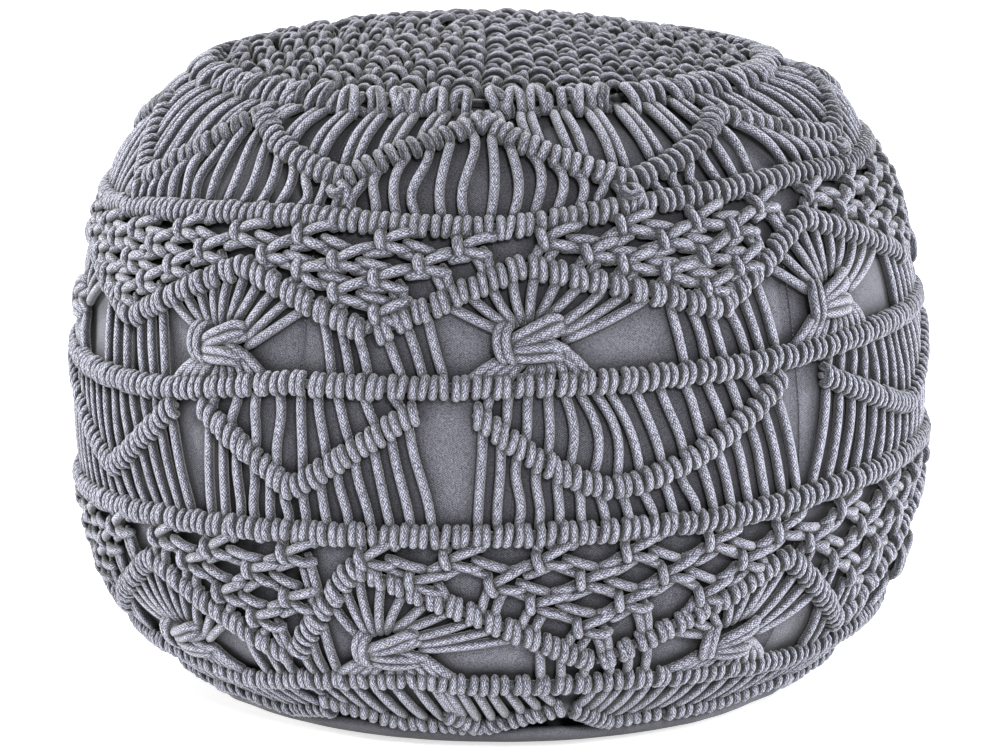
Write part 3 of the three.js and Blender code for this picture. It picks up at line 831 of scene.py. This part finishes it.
def fan(roof, place, ring, spread, post_shift):
    """Rays that gather in a large knot, its feet on the ring, and posts beside the valleys.

    Spread is how far the feet fan out on the ring, and post_shift how far the posts slip round
    the pouf on their way down.
    """
    rays = len(FAN_ENTRIES)
    past_rays = FAN_POSTS + rays
    fan_azimuth, fan_level = place
    fan_run = float(run_at(fan_azimuth, fan_level))
    share = (np.arange(CORDS_PER_REPEAT) + 0.5) / CORDS_PER_REPEAT
    azimuth, run = roof.at(share)[:2]
    paths = knot(FAN_KNOT, fan_azimuth, fan_run, tilt=RNG.normal(0, 1.5), count=11)
    for index in range(rays):
        top = (azimuth[FAN_POSTS + index], run[FAN_POSTS + index] + RAY_TUCK)
        low = knot_exit(fan_azimuth, fan_run, *FAN_ENTRIES[index])
        sag = -0.8 if index < rays / 2 else 0.8
        paths.append(strand(top, low, bow=sag + RNG.normal(0, 0.5), lift=2.8, swell=1.3,
                            count=10))
        foot = -spread / 2 + spread * (index + 0.5) / rays
        foot_azimuth = fan_azimuth + math.degrees(foot / radius_at(fan_run))
        bottom = (foot_azimuth, float(ring.run_under(foot_azimuth)) - BAR_TUCK)
        start = knot_exit(fan_azimuth, fan_run, *FAN_EXITS[index])
        paths.append(strand(start, bottom, bow=(-1.5 if index < 4 else 1.8), lift=2.8, swell=1.6))
    for index in (*range(FAN_POSTS), *range(past_rays, CORDS_PER_REPEAT)):
        top = (azimuth[index], run[index] + BAR_TUCK)
        shift = post_shift * (1.0 if index < FAN_POSTS else 0.7)
        foot_azimuth = azimuth[index] + shift
        bottom = (foot_azimuth, float(ring.run_under(foot_azimuth)) - BAR_TUCK)
        if bottom[1] - top[1] > SHORTEST_STRAND:
            paths.append(strand(top, bottom, bow=RNG.normal(0.4, 0.7), count=8))
    return paths


# Materials

# Colour of the painted shade at the bottom of the deepest creases
DEEPEST_SHADE = (0.006, 0.006, 0.008, 1)

# Knitted stitches round a cord, how steeply they run along it, and how far they wander
STITCHES = 11
STITCH_SLOPE = 0.7
STITCH_WANDER = 7.0


def new_material(name, roughness):
    """Material with its node tree and its shader."""
    material = bpy.data.materials.new(name)
    material.use_nodes = True
    shader = material.node_tree.nodes["Principled BSDF"]
    shader.inputs["Roughness"].default_value = roughness
    return material, material.node_tree, shader


def add_node(tree, kind, **settings):
    """Node of a kind, with its settings."""
    node = tree.nodes.new(kind)
    for name, value in settings.items():
        setattr(node, name, value)
    return node


def arithmetic(tree, operation, first, second=None):
    """Result of one operation on numbers or on other nodes' results."""
    node = add_node(tree, "ShaderNodeMath", operation=operation)
    for socket, value in zip(node.inputs, (first, second)):
        if isinstance(value, (int, float)):
            socket.default_value = value
        elif value is not None:
            tree.links.new(value, socket)
    return node.outputs[0]


def total(tree, *weighted):
    """Sum of results, each with its weight."""
    parts = [arithmetic(tree, "MULTIPLY", value, weight) for value, weight in weighted]
    whole = parts[0]
    for part in parts[1:]:
        whole = arithmetic(tree, "ADD", whole, part)
    return whole


def noise(tree, scale, detail):
    """Soft random grain."""
    place = add_node(tree, "ShaderNodeTexCoord")
    node = add_node(tree, "ShaderNodeTexNoise")
    node.inputs["Scale"].default_value = scale
    node.inputs["Detail"].default_value = detail
    tree.links.new(place.outputs["Object"], node.inputs["Vector"])
    return node.outputs["Fac"]


def along_threads(tree):
    """The two texture coordinates of a surface, as numbers."""
    place = add_node(tree, "ShaderNodeTexCoord")
    split = add_node(tree, "ShaderNodeSeparateXYZ")
    tree.links.new(place.outputs["UV"], split.inputs[0])
    return split.outputs["X"], split.outputs["Y"]


def colour_ramp(tree, factor, stops):
    """Colour picked by a number from a row of places and colours."""
    node = add_node(tree, "ShaderNodeValToRGB")
    tree.links.new(factor, node.inputs["Fac"])
    ramp = node.color_ramp
    while len(ramp.elements) < len(stops):
        ramp.elements.new(0.5)
    for element, (position, colour) in zip(ramp.elements, stops):
        element.position = position
        element.color = (*colour, 1)
    return node.outputs["Color"]


def bump(tree, shader, height, distance, strength):
    """Fine relief of a surface, with its depth in metres."""
    node = add_node(tree, "ShaderNodeBump")
    node.inputs["Distance"].default_value = distance
    node.inputs["Strength"].default_value = strength
    tree.links.new(height, node.inputs["Height"])
    tree.links.new(node.outputs["Normal"], shader.inputs["Normal"])


def flank_light(tree, around, dusk, narrowness):
    """Share of painted light round a cord: its flanks are painted darker, as shade from the next
    cords.

    Dusk is how much light the flanks lose, and a higher narrowness keeps that to a thinner line.
    """
    turn = arithmetic(tree, "MULTIPLY", around, 2 * math.pi)
    flank = arithmetic(tree, "ABSOLUTE", arithmetic(tree, "COSINE", turn))
    flank = arithmetic(tree, "POWER", flank, narrowness)
    return arithmetic(tree, "SUBTRACT", 1.0, arithmetic(tree, "MULTIPLY", flank, dusk))


def crease_shaded(tree, tint, reach, depth, light=None):
    """Paints shade into a colour in the creases within reach of other cords, and darkens it by the
    painted light given to it.
    """
    shelter = add_node(tree, "ShaderNodeAmbientOcclusion", samples=6)
    shelter.inputs["Distance"].default_value = reach
    tree.links.new(tint, shelter.inputs["Color"])
    openness = arithmetic(tree, "POWER", shelter.outputs["AO"], depth)
    if light is not None:
        openness = arithmetic(tree, "MULTIPLY", openness, light)
    mix = add_node(tree, "ShaderNodeMix", data_type="RGBA")
    tree.links.new(openness, mix.inputs["Factor"])
    mix.inputs["A"].default_value = DEEPEST_SHADE
    tree.links.new(tint, mix.inputs["B"])
    return mix.outputs["Result"]


def knitted_cord(name, colours, reach, depth, dusk, narrowness):
    """Knitted cotton cord: small slanted stitches that meet in rows along it, partly painted
    highlight and shade, with painted shade in its creases and on its flanks.
    """
    material, tree, shader = new_material(name, roughness=0.86)
    shader.inputs["Sheen Weight"].default_value = 0.35
    shader.inputs["Sheen Roughness"].default_value = 0.5
    shader.inputs["Specular IOR Level"].default_value = 0.25
    around, along = along_threads(tree)
    wander = noise(tree, scale=260.0, detail=2.0)
    scaled_around = arithmetic(tree, "MULTIPLY", around, STITCHES * math.pi)
    scaled_along = total(tree, (along, STITCHES * math.pi * STITCH_SLOPE), (wander, STITCH_WANDER))
    rising = arithmetic(tree, "SINE", arithmetic(tree, "ADD", scaled_around, scaled_along))
    falling = arithmetic(tree, "SINE", arithmetic(tree, "SUBTRACT", scaled_around, scaled_along))
    stitch = arithmetic(tree, "MULTIPLY", arithmetic(tree, "ABSOLUTE", rising),
                        arithmetic(tree, "ABSOLUTE", falling))
    fuzz = noise(tree, scale=620.0, detail=3.0)
    blotch = noise(tree, scale=38.0, detail=3.0)
    shade = total(tree, (stitch, 0.42), (fuzz, 0.74), (blotch, 0.14))
    # The knit's light raised stitches are partly a painted highlight, the dark gaps between them
    # partly painted shade
    tint = colour_ramp(tree, shade, [(0.37, colours.cord_dark), (0.59, colours.cord_middle),
                                     (0.84, colours.cord_light)])
    # Painted shade on the cord's flanks, and in its creases near other cords
    light = flank_light(tree, around, dusk, narrowness)
    shaded = crease_shaded(tree, tint, reach, depth, light)
    tree.links.new(shaded, shader.inputs["Base Color"])
    height = arithmetic(tree, "ADD", stitch, arithmetic(tree, "MULTIPLY", fuzz, 0.5))
    bump(tree, shader, height, distance=0.5 * MM, strength=0.6)
    return material


def woven_cloth(name, dark, light, threads):
    """Plain-weave cotton with slubs, soft creases and a slightly uneven dye, with painted shade
    near the cords over it and in its seams.
    """
    material, tree, shader = new_material(name, roughness=0.9)
    shader.inputs["Sheen Weight"].default_value = 0.12
    shader.inputs["Specular IOR Level"].default_value = 0.2
    across, along = along_threads(tree)
    warp = arithmetic(tree, "SINE", arithmetic(tree, "MULTIPLY", across, threads))
    weft = arithmetic(tree, "SINE", arithmetic(tree, "MULTIPLY", along, threads))
    weave = arithmetic(tree, "MULTIPLY", warp, weft)
    slub = noise(tree, scale=1500.0, detail=2.0)
    blotch = noise(tree, scale=14.0, detail=3.0)
    crease = noise(tree, scale=46.0, detail=2.0)
    shade = total(tree, (slub, 0.85), (blotch, 0.15), (weave, 0.10))
    tint = colour_ramp(tree, shade, [(0.39, dark), (0.61, light)])
    # Painted shade near the cords over the cloth and in its seams
    shaded = crease_shaded(tree, tint, reach=12 * MM, depth=1.8)
    tree.links.new(shaded, shader.inputs["Base Color"])
    height = total(tree, (weave, 0.12), (slub, 0.35), (crease, 1.1))
    bump(tree, shader, height, distance=1.2 * MM, strength=0.5)
    return material


def shared_material(name):
    """Finish of one of the pouf's slots, made once from the chosen colours."""
    if name in bpy.data.materials:
        return bpy.data.materials[name]
    colours = bpy.context.scene.pouf_colours
    # Reach and depth set a cord's painted crease shade, dusk and narrowness its painted flank
    # shade
    if name == "knitted_cord":
        return knitted_cord(name, colours, reach=8 * MM, depth=3.4, dusk=0.82, narrowness=3.2)
    if name == "top_cord":
        return knitted_cord(name, colours, reach=14 * MM, depth=6.5, dusk=0.4, narrowness=4.0)
    if name == "casing_weave":
        return woven_cloth(name, colours.casing_dark, colours.casing_light, threads=5200.0)
    if name == "base_weave":
        return woven_cloth(name, colours.base_dark, colours.base_light, threads=4200.0)
    return sewing_thread(name, colours)


def sewing_thread(name, colours):
    """Twisted thread of the seam stitches."""
    material, tree, shader = new_material(name, roughness=0.7)
    grain = noise(tree, scale=900.0, detail=2.0)
    tint = colour_ramp(tree, grain, [(0.3, colours.thread), (0.8, colours.casing_light)])
    tree.links.new(tint, shader.inputs["Base Color"])
    bump(tree, shader, grain, distance=0.3 * MM, strength=0.5)
    return material


# The bars that the cords pass through, from the rim to the foot

def make_bars():
    """All the bars by name: four rings, two rows of arcs, two of roofs, and the scallops."""
    scallops = [Bar(row) for row in SCALLOPS]
    step = (360 - SCALLOP_FIRST + SCALLOPS[0][0][0]) / SCALLOP_COUNT
    for index in range(SCALLOP_COUNT):
        start = SCALLOP_FIRST + index * step
        low = SCALLOP_LOW + 1.5 * math.sin(2.3 * index)
        scallops.append(Bar([(start, SCALLOP_END), (start + 0.45 * step, low),
                             (start + 0.97 * step, SCALLOP_END)]))
    return {
        "a": Bar(RING_A, closed=True),
        "b": Bar(RING_B, closed=True),
        "c": Bar(RING_C, closed=True),
        "d": Bar(RING_D, closed=True),
        "upper_arcs": [Bar(row, bend=bend) for row, bend in zip(UPPER_ARCS, UPPER_BENDS)],
        "upper_roofs": [Bar(row, bend=UPPER_ROOF_BEND) for row in UPPER_ROOFS],
        "middle_arcs": [Bar(row, bend=bend) for row, bend in zip(MIDDLE_ARCS, MIDDLE_BENDS)],
        "lower_roofs": [Bar(row, bend=LOWER_ROOF_BEND) for row in LOWER_ROOFS],
        "scallops": scallops,
    }


BARS = make_bars()


def finish_piece(obj, slot, *nodes):
    """Ties a piece to the body and hides the solids that it stands for; its slot is not used."""
    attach(obj, "root")
    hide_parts(*nodes)


def cord_piece(name, paths, radius, sides=8):
    """Cords of the side net as one named piece."""
    obj = cord_object(name, paths, shared_material("knitted_cord"), radius, sides)
    finish_piece(obj, "cord", "side_net")
    return obj


def length_setting(name, description, default, least, most):
    """A length that can be changed in the sidebar, given in millimetres."""
    return bpy.props.FloatProperty(name=name, description=description, default=default * MM,
                                   min=least * MM, max=most * MM, subtype="DISTANCE",
                                   unit="LENGTH")


class PoufSizes(bpy.types.PropertyGroup):
    """Sizes of the cords and cloths."""

    cord_radius: length_setting("Cord radius", "Half the thickness of the knotted cord",
                                2.75, 1, 4)
    wrap_radius: length_setting("Wrap radius", "Half the cord's thickness where it wraps a bar",
                                2.6, 1, 4)
    thread_radius: length_setting("Thread radius", "Half the thickness of the seam stitches",
                                  0.4, 0.2, 1)
    casing_swell: length_setting("Casing swell", "How far the casing swells between the rings",
                                 1.6, 0, 4)
    top_rounds: bpy.props.IntProperty(
        name="Top rounds", description="Rounds of square knots on the top",
        default=10, min=6, max=16)


def colour_setting(name, description, default):
    """A colour that can be changed in the sidebar."""
    return bpy.props.FloatVectorProperty(name=name, description=description, default=default,
                                         subtype="COLOR", min=0, max=1)


class PoufColours(bpy.types.PropertyGroup):
    """Colours of the cord, the cloths and the stage."""

    # The cord's dark colour between the stitches is partly painted shade, its light colour of the
    # raised stitches partly a painted highlight
    cord_dark: colour_setting("Cord creases", "Colour between the cord's stitches",
                              (0.026, 0.027, 0.038))
    cord_middle: colour_setting("Cord", "Main colour of the cord", (0.148, 0.150, 0.194))
    cord_light: colour_setting("Cord stitches", "Colour of the raised stitches",
                               (0.50, 0.51, 0.62))
    casing_dark: colour_setting("Casing shade", "Darker threads of the casing",
                                (0.044, 0.044, 0.054))
    casing_light: colour_setting("Casing", "Lighter threads of the casing",
                                 (0.172, 0.172, 0.202))
    base_dark: colour_setting("Base shade", "Darker threads of the base cloth",
                              (0.055, 0.055, 0.066))
    base_light: colour_setting("Base", "Lighter threads of the base cloth",
                               (0.125, 0.125, 0.145))
    thread: colour_setting("Thread", "Colour of the seam stitches", (0.03, 0.03, 0.036))
    floor: colour_setting("Floor", "Colour of the floor under the pouf", (0.86, 0.86, 0.87))


class POUF_OT_stage(bpy.types.Operator):
    """Floor, soft studio light and the camera"""

    bl_idname = "pouf.stage"
    bl_label = "Stage"

    def execute(self, context):
        bpy.ops.mesh.primitive_plane_add(size=FLOOR_SIZE, location=(0, 0, 0))
        floor = context.object
        floor.name = "floor"
        material, tree, shader = new_material("pale_floor", roughness=0.7)
        grain = noise(tree, scale=6.0, detail=2.0)
        colour = context.scene.pouf_colours.floor
        paler = [min(1.0, channel * 1.04) for channel in colour]
        tree.links.new(colour_ramp(tree, grain, [(0.3, colour), (0.7, paler)]),
                       shader.inputs["Base Color"])
        shader.inputs["Emission Color"].default_value = (1.0, 1.0, 1.0, 1)
        shader.inputs["Emission Strength"].default_value = FLOOR_GLOW
        floor.data.materials.append(material)
        world = bpy.data.worlds.new("studio")
        world.use_nodes = True
        sky = world.node_tree.nodes["Background"]
        sky.inputs["Color"].default_value = (0.95, 0.97, 1.0, 1)
        sky.inputs["Strength"].default_value = SKY_LIGHT
        context.scene.world = world
        for sun in SUNS:
            self.soft_sun(context, *sun)
        camera_data = bpy.data.cameras.new("camera")
        camera_data.sensor_width = CAMERA_SENSOR
        camera_data.lens = CAMERA_LENS
        camera = bpy.data.objects.new("camera", camera_data)
        camera.location = CAMERA_PLACE
        camera.rotation_euler = (math.radians(CAMERA_TILT), 0, 0)
        context.scene.collection.objects.link(camera)
        context.scene.camera = camera
        context.scene.view_settings.view_transform = "Standard"
        return {"FINISHED"}

    def soft_sun(self, context, name, toward, spread, strength, colour):
        """Light from far away that throws shadows with soft edges."""
        data = bpy.data.lights.new(name, "SUN")
        data.angle = math.radians(spread)
        data.energy = strength
        data.color = colour
        light = bpy.data.objects.new(name, data)
        light.rotation_euler = Vector(toward).to_track_quat("Z", "Y").to_euler()
        context.scene.collection.objects.link(light)


class POUF_OT_casing(bpy.types.Operator):
    """Filled casing of plain-weave cloth with upright seams"""

    bl_idname = "pouf.casing"
    bl_label = "Casing"

    def execute(self, context):
        sizes = context.scene.pouf_sizes
        azimuth = np.arange(CASING_COLUMNS) * 360 / CASING_COLUMNS + SEAMS[0]
        azimuths, runs = np.meshgrid(azimuth, CASING_RUNS)
        height = np.interp(runs, RUN, HEIGHT)
        swell = np.zeros_like(runs)
        for low, high in CASING_SWELLS:
            share = np.clip((height - low) / (high - low), 0, 1)
            swell += np.sin(math.pi * share) ** 2
        crease = np.zeros_like(runs)
        for seam in SEAMS:
            apart = np.radians(turned_within(azimuths - seam)) * SEAM_RADIUS
            crease += np.exp(-(apart / SEAM_WIDTH) ** 2)
        puffs = (np.sin(np.radians(azimuths * 16 + 40)) * np.sin(runs / 17)
                 + 0.6 * np.sin(np.radians(azimuths * 9)) * np.sin(runs / 29 + 1))
        lift = (CASING_LIFT + sizes.casing_swell / MM * swell * SWELL_SHARE
                + PUFF_HEIGHT * puffs - SEAM_DEPTH * crease * (height > CASING_FOOT_HEIGHT))
        lift = np.where(height > UNDER_TOP_HEIGHT, UNDER_TOP_LIFT, lift)
        grid = on_surface(azimuths, runs, lift)
        side = grid[grid[:, 0, 2] > CASING_CUT * MM]
        foot = np.stack([round_points(radius, azimuth, level) for radius, level in CASING_FOOT])
        grid = np.concatenate([side, foot])
        obj = grid_object("casing_cloth", grid, shared_material("casing_weave"))
        finish_piece(obj, "casing_cloth", "casing")
        return {"FINISHED"}


class POUF_OT_seam_stitches(bpy.types.Operator):
    """Dotted stitches beside the casing's seams"""

    bl_idname = "pouf.seam_stitches"
    bl_label = "Seam stitches"

    def execute(self, context):
        sizes = context.scene.pouf_sizes
        paths = []
        for seam in SEAMS:
            for run in np.arange(STITCH_FIRST_RUN, STITCH_LAST_RUN, STITCH_PITCH):
                azimuth = seam + math.degrees(STITCH_OFFSET / radius_at(run))
                paths.append(on_surface(azimuth, run + STITCH[:, 0], STITCH[:, 1]))
        obj = cord_object("seam_stitches", paths, shared_material("thread"),
                          sizes.thread_radius, sides=5)
        finish_piece(obj, "casing_cloth", "casing")
        return {"FINISHED"}


class POUF_OT_base_cloth(bpy.types.Operator):
    """Base cloth with its turned and puckered edge"""

    bl_idname = "pouf.base_cloth"
    bl_label = "Base cloth"

    def execute(self, context):
        azimuth = np.arange(BASE_COLUMNS) * 360 / BASE_COLUMNS
        angle = np.radians(azimuth)
        fold = np.sin(11 * angle) + 0.6 * np.sin(29 * angle + 0.7) + 0.4 * np.sin(47 * angle)
        rows = []
        for radius, level, loose in BASE_SECTION:
            rows.append(round_points(radius + loose * fold, azimuth,
                                     level + 0.35 * loose * np.cos(13 * angle)))
        obj = grid_object("base_round", np.stack(rows), shared_material("base_weave"))
        finish_piece(obj, "base_cloth", "base_cloth")
        return {"FINISHED"}


class POUF_OT_top_knots(bpy.types.Operator):
    """Rounds of square knots on the top"""

    bl_idname = "pouf.top_knots"
    bl_label = "Top knots"

    def execute(self, context):
        sizes = context.scene.pouf_sizes
        rounds = sizes.top_rounds
        paths = []
        for index in range(rounds):
            run = TOP_FIRST_RUN + index * (TOP_LAST_RUN - TOP_FIRST_RUN) / (rounds - 1)
            count = int(np.clip(round(2 * math.pi * run / TOP_KNOT_WIDTH), 3, CORDS // 4))
            size = min(2 * math.pi * run / count / TOP_KNOT_WIDTH, TOP_KNOT_STRETCH)
            for place in range(count):
                azimuth = 360 * (place + 0.5 * (index % 2)) / count + RNG.normal(0, 0.8)
                where = top_run(azimuth, run) + RNG.normal(0, 0.6)
                paths += knot(TOP_KNOT, azimuth, where, size=size * RNG.normal(1.0, 0.04),
                              tilt=RNG.normal(0, 8))
        paths.append(on_surface(np.linspace(0, 330, 14), TOP_RING_RUN, TOP_RING_LIFT))
        half = len(paths) // 2
        for name, part in (("top_knots_inner", paths[:half]), ("top_knots_outer", paths[half:])):
            obj = cord_object(name, part, shared_material("top_cord"),
                              TOP_THICKNESS * sizes.cord_radius, sides=7)
            finish_piece(obj, "cord", "top_knots")
        return {"FINISHED"}


class POUF_OT_rim(bpy.types.Operator):
    """Tall loops at the rim, with crossed pegs between some of them"""

    bl_idname = "pouf.rim"
    bl_label = "Rim"

    def execute(self, context):
        paths = []
        for loop in range(RIM_LOOPS):
            azimuth = 360 * (loop + 0.5) / RIM_LOOPS - 180 + RNG.normal(0, 0.7)
            lean = RNG.normal(0, 4.2)
            left_drop, right_drop = RNG.normal(0, 2.0, 2)
            height = RNG.normal(0, 1.8)
            rows = [(-4.4 + lean * 1.2, -15.5 + left_drop, 1.6),
                    (-3.9 + lean, -9.8 + left_drop, 7.4), (-2.9 + lean * 0.4, -3.4, 9.6),
                    (0, 1.4 + height, 8.8), (2.9 + lean * 0.4, -3.4, 9.6),
                    (3.9 + lean, -9.8 + right_drop, 7.4),
                    (4.4 + lean * 1.2, -15.5 + right_drop, 1.6)]
            paths.append(self.rim_cord(rows, azimuth, RIM_RUN, count=17))
            if RNG.random() >= PEGS_LEFT_OUT:
                peg = azimuth + 180 / RIM_LOOPS
                paths.append(self.rim_cord(PEG, peg, PEG_RUN, count=8))
                paths.append(self.rim_cord(PEG_CROSS, peg, PEG_RUN, count=7))
        cord_piece("rim_loops", paths, context.scene.pouf_sizes.cord_radius)
        return {"FINISHED"}

    def rim_cord(self, rows, azimuth, run, count):
        """Cord through rows of right, up and lift from a place on the rim."""
        rows = smooth_path(rows, count)
        places = beside(azimuth, top_run(azimuth, run), rows[:, 0], rows[:, 1])
        return on_surface(*places, rows[:, 2])


class POUF_OT_level_rings(bpy.types.Operator):
    """Four level rings of paired wraps"""

    bl_idname = "pouf.level_rings"
    bl_label = "Level rings"

    def execute(self, context):
        upper = []
        lower = []
        for key, pairing, paths in (("a", 0.05, upper), ("b", 0.16, upper),
                                    ("c", 0.12, lower), ("d", 0.12, lower)):
            paths += wraps(BARS[key], pairing, lean=0.5)
            paths.append(holding_cord(BARS[key]))
        cord_piece("upper_rings", upper, context.scene.pouf_sizes.wrap_radius)
        cord_piece("lower_rings", lower, context.scene.pouf_sizes.wrap_radius)
        return {"FINISHED"}


class POUF_OT_arcs(bpy.types.Operator):
    """Arcs, roofs and scallops of paired wraps"""

    bl_idname = "pouf.arcs"
    bl_label = "Arcs and roofs"

    def execute(self, context):
        # Each row of bars, how its wraps pair up and how far they stand up
        groups = (("upper_arcs", 0.0, 0.15), ("upper_roofs", 0.2, 0.6), ("middle_arcs", 0.04, 0.6),
                  ("lower_roofs", 0.2, 0.5), ("scallops", 0.0, 0.3))
        for key, pairing, upright in groups:
            paths = []
            radius = context.scene.pouf_sizes.wrap_radius
            pitches = [WRAP_PITCH] * len(BARS[key])
            reach, lift = WRAP_REACH, WRAP_LIFT
            if key == "upper_arcs":
                radius *= UPPER_THICKNESS
                pitches = UPPER_PITCHES
                reach, lift = UPPER_REACH, UPPER_LIFT
            for bar, pitch in zip(BARS[key], pitches):
                paths += wraps(bar, pairing, lean=-0.6, upright=upright, pitch=pitch,
                               reach=reach, lift=lift)
                paths.append(holding_cord(bar))
            cord_piece(key, paths, radius)
        return {"FINISHED"}


class POUF_OT_strands(bpy.types.Operator):
    """Plain cords that hang between the arcs and the level rings"""

    bl_idname = "pouf.strands"
    bl_label = "Hanging strands"

    def execute(self, context):
        paths = []
        for arc, slips in zip(BARS["upper_arcs"], UPPER_SLIPS):
            paths += self.from_rim(arc)
            paths += self.valley_knot(arc)
            paths += hang(arc, BARS["a"], slips, downwards=True, pitch=STRAND_PITCH,
                          bow=lambda share: 5.5 * math.sin(2 * math.pi * (share + 0.05)) + 1.0,
                          wave=1.3, lift=3.4, swell=2.6)
        cord_piece("upper_strands", paths, context.scene.pouf_sizes.cord_radius)
        paths = []
        rows = zip(BARS["middle_arcs"], MIDDLE_SLIPS, MIDDLE_CORDS)
        for arc, (above, below), (pitch, side_bow) in rows:
            paths += hang(arc, BARS["b"], above, downwards=False, pitch=pitch, wave=0.6,
                          bow=lambda share: side_bow * math.exp(-((share - 0.36) / 0.12) ** 2))
            paths += hang(arc, BARS["c"], below, downwards=True, pitch=STRAND_PITCH, wave=0.6,
                          bow=lambda share: 0.4)
        cord_piece("middle_strands", paths, context.scene.pouf_sizes.cord_radius)
        return {"FINISHED"}

    def valley_knot(self, arc):
        """Small knot that hangs from an arc's lowest place."""
        lowest = int(np.argmin(arc.level))
        place = (arc.azimuth[lowest], arc.run[lowest] + 7.5)
        return knot(VALLEY_KNOT, *place, tilt=RNG.normal(0, 12), lift=1.2)

    def from_rim(self, arc):
        """Pairs of cords from the rim down to an arc."""
        pairs = max(round(arc.length / RIM_PAIR_PITCH), 4)
        share = (np.arange(2 * pairs) + 0.5 + np.tile([0.2, -0.2], pairs)) / (2 * pairs)
        azimuth, run = arc.at(share)[:2]
        first, last = arc.azimuth[0], arc.azimuth[-1]
        # On both sides of the front the cords start a little nearer to it than they end
        slant = -1.8 * math.tanh((first + last + 6) / 30)
        paths = []
        for index, place in enumerate(share):
            top_azimuth = first + (last - first) * place + slant
            top = (top_azimuth, top_run(top_azimuth, BELOW_RIM_RUN))
            low = (azimuth[index], run[index] - STRAND_TUCK)
            if low[1] - top[1] > SHORTEST_STRAND:
                paths.append(strand(top, low, bow=RNG.normal(-1.0, 0.8), lift=3.2, swell=1.4,
                                    count=8))
        return paths


class POUF_OT_nets(bpy.types.Operator):
    """Two bands of alternating square knots"""

    bl_idname = "pouf.nets"
    bl_label = "Knotted nets"

    def execute(self, context):
        radius = context.scene.pouf_sizes.cord_radius
        upper = net_band(BARS["a"], BARS["upper_roofs"], UPPER_NET_DROPS, first=-3.4, margin=5.0,
                         size=1.02)
        cord_piece("upper_net", upper, UPPER_NET_THICKNESS * radius, sides=7)
        lower = net_band(BARS["c"], BARS["lower_roofs"], LOWER_NET_DROPS, first=-4.5, margin=6.0,
                         size=1.12)
        cord_piece("lower_net", lower, radius, sides=7)
        return {"FINISHED"}


class POUF_OT_fans(bpy.types.Operator):
    """Two rows of fans that each gather in a large knot"""

    bl_idname = "pouf.fans"
    bl_label = "Fans"

    def execute(self, context):
        paths = []
        for roof, place in zip(BARS["upper_roofs"], UPPER_FANS):
            paths += fan(roof, place, BARS["b"], spread=74, post_shift=2.6)
        cord_piece("upper_fans", paths, context.scene.pouf_sizes.cord_radius)
        paths = []
        for roof, place in zip(BARS["lower_roofs"], LOWER_FANS):
            paths += fan(roof, place, BARS["d"], spread=78, post_shift=0.6)
        cord_piece("lower_fans", paths, context.scene.pouf_sizes.cord_radius)
        return {"FINISHED"}


class POUF_OT_foot(bpy.types.Operator):
    """Short cords from the lowest ring to the scallops"""

    bl_idname = "pouf.foot"
    bl_label = "Foot"

    def execute(self, context):
        paths = []
        for bar in BARS["scallops"]:
            share = (np.arange(FOOT_CORDS) + 0.5) / FOOT_CORDS
            azimuth, run = bar.at(share)[:2]
            slant = FOOT_SLANT if bar.azimuth[0] < 0 else -FOOT_SLANT
            for index in range(FOOT_CORDS):
                top_azimuth = azimuth[index] - slant * (0.6 + 0.5 * share[index])
                top = (top_azimuth, float(BARS["d"].run_under(top_azimuth)) + BAR_TUCK)
                low = (azimuth[index], run[index] - STRAND_TUCK)
                if low[1] - top[1] > SHORTEST_STRAND:
                    paths.append(strand(top, low, bow=RNG.normal(0.8, 0.5), lift=2.8, count=7))
        cord_piece("foot_strands", paths, context.scene.pouf_sizes.cord_radius)
        return {"FINISHED"}


class POUF_PT_panel(bpy.types.Panel):
    """Sidebar panel with the pouf's sizes, colours and pieces"""

    bl_idname = "POUF_PT_panel"
    bl_label = "Macrame pouf"
    bl_space_type = "VIEW_3D"
    bl_region_type = "UI"
    bl_category = "Pouf"

    def draw(self, context):
        """One box each for the sizes and the colours, and a button for each piece."""
        for group in (context.scene.pouf_sizes, context.scene.pouf_colours):
            box = self.layout.box()
            for name in group.bl_rna.properties.keys():
                if name not in ("rna_type", "name"):
                    box.prop(group, name)
        for operator in OPERATORS:
            self.layout.operator(operator.bl_idname)


OPERATORS = (POUF_OT_stage, POUF_OT_casing, POUF_OT_seam_stitches, POUF_OT_base_cloth,
             POUF_OT_top_knots, POUF_OT_rim, POUF_OT_level_rings, POUF_OT_arcs, POUF_OT_strands,
             POUF_OT_nets, POUF_OT_fans, POUF_OT_foot)
CLASSES = (PoufSizes, PoufColours, *OPERATORS, POUF_PT_panel)


def register():
    """Adds the operators, the panel and the scene's settings to Blender."""
    for cls in CLASSES:
        bpy.utils.register_class(cls)
    bpy.types.Scene.pouf_sizes = bpy.props.PointerProperty(type=PoufSizes)
    bpy.types.Scene.pouf_colours = bpy.props.PointerProperty(type=PoufColours)


def unregister():
    """Takes them out again."""
    del bpy.types.Scene.pouf_colours
    del bpy.types.Scene.pouf_sizes
    for cls in reversed(CLASSES):
        bpy.utils.unregister_class(cls)


def main():
    """Dresses the pouf piece by piece."""
    register()
    bpy.ops.pouf.stage()
    bpy.ops.pouf.casing()
    bpy.ops.pouf.seam_stitches()
    bpy.ops.pouf.base_cloth()
    bpy.ops.pouf.top_knots()
    bpy.ops.pouf.rim()
    bpy.ops.pouf.level_rings()
    bpy.ops.pouf.arcs()
    bpy.ops.pouf.strands()
    bpy.ops.pouf.nets()
    bpy.ops.pouf.fans()
    bpy.ops.pouf.foot()


if __name__ == "__main__":
    main()
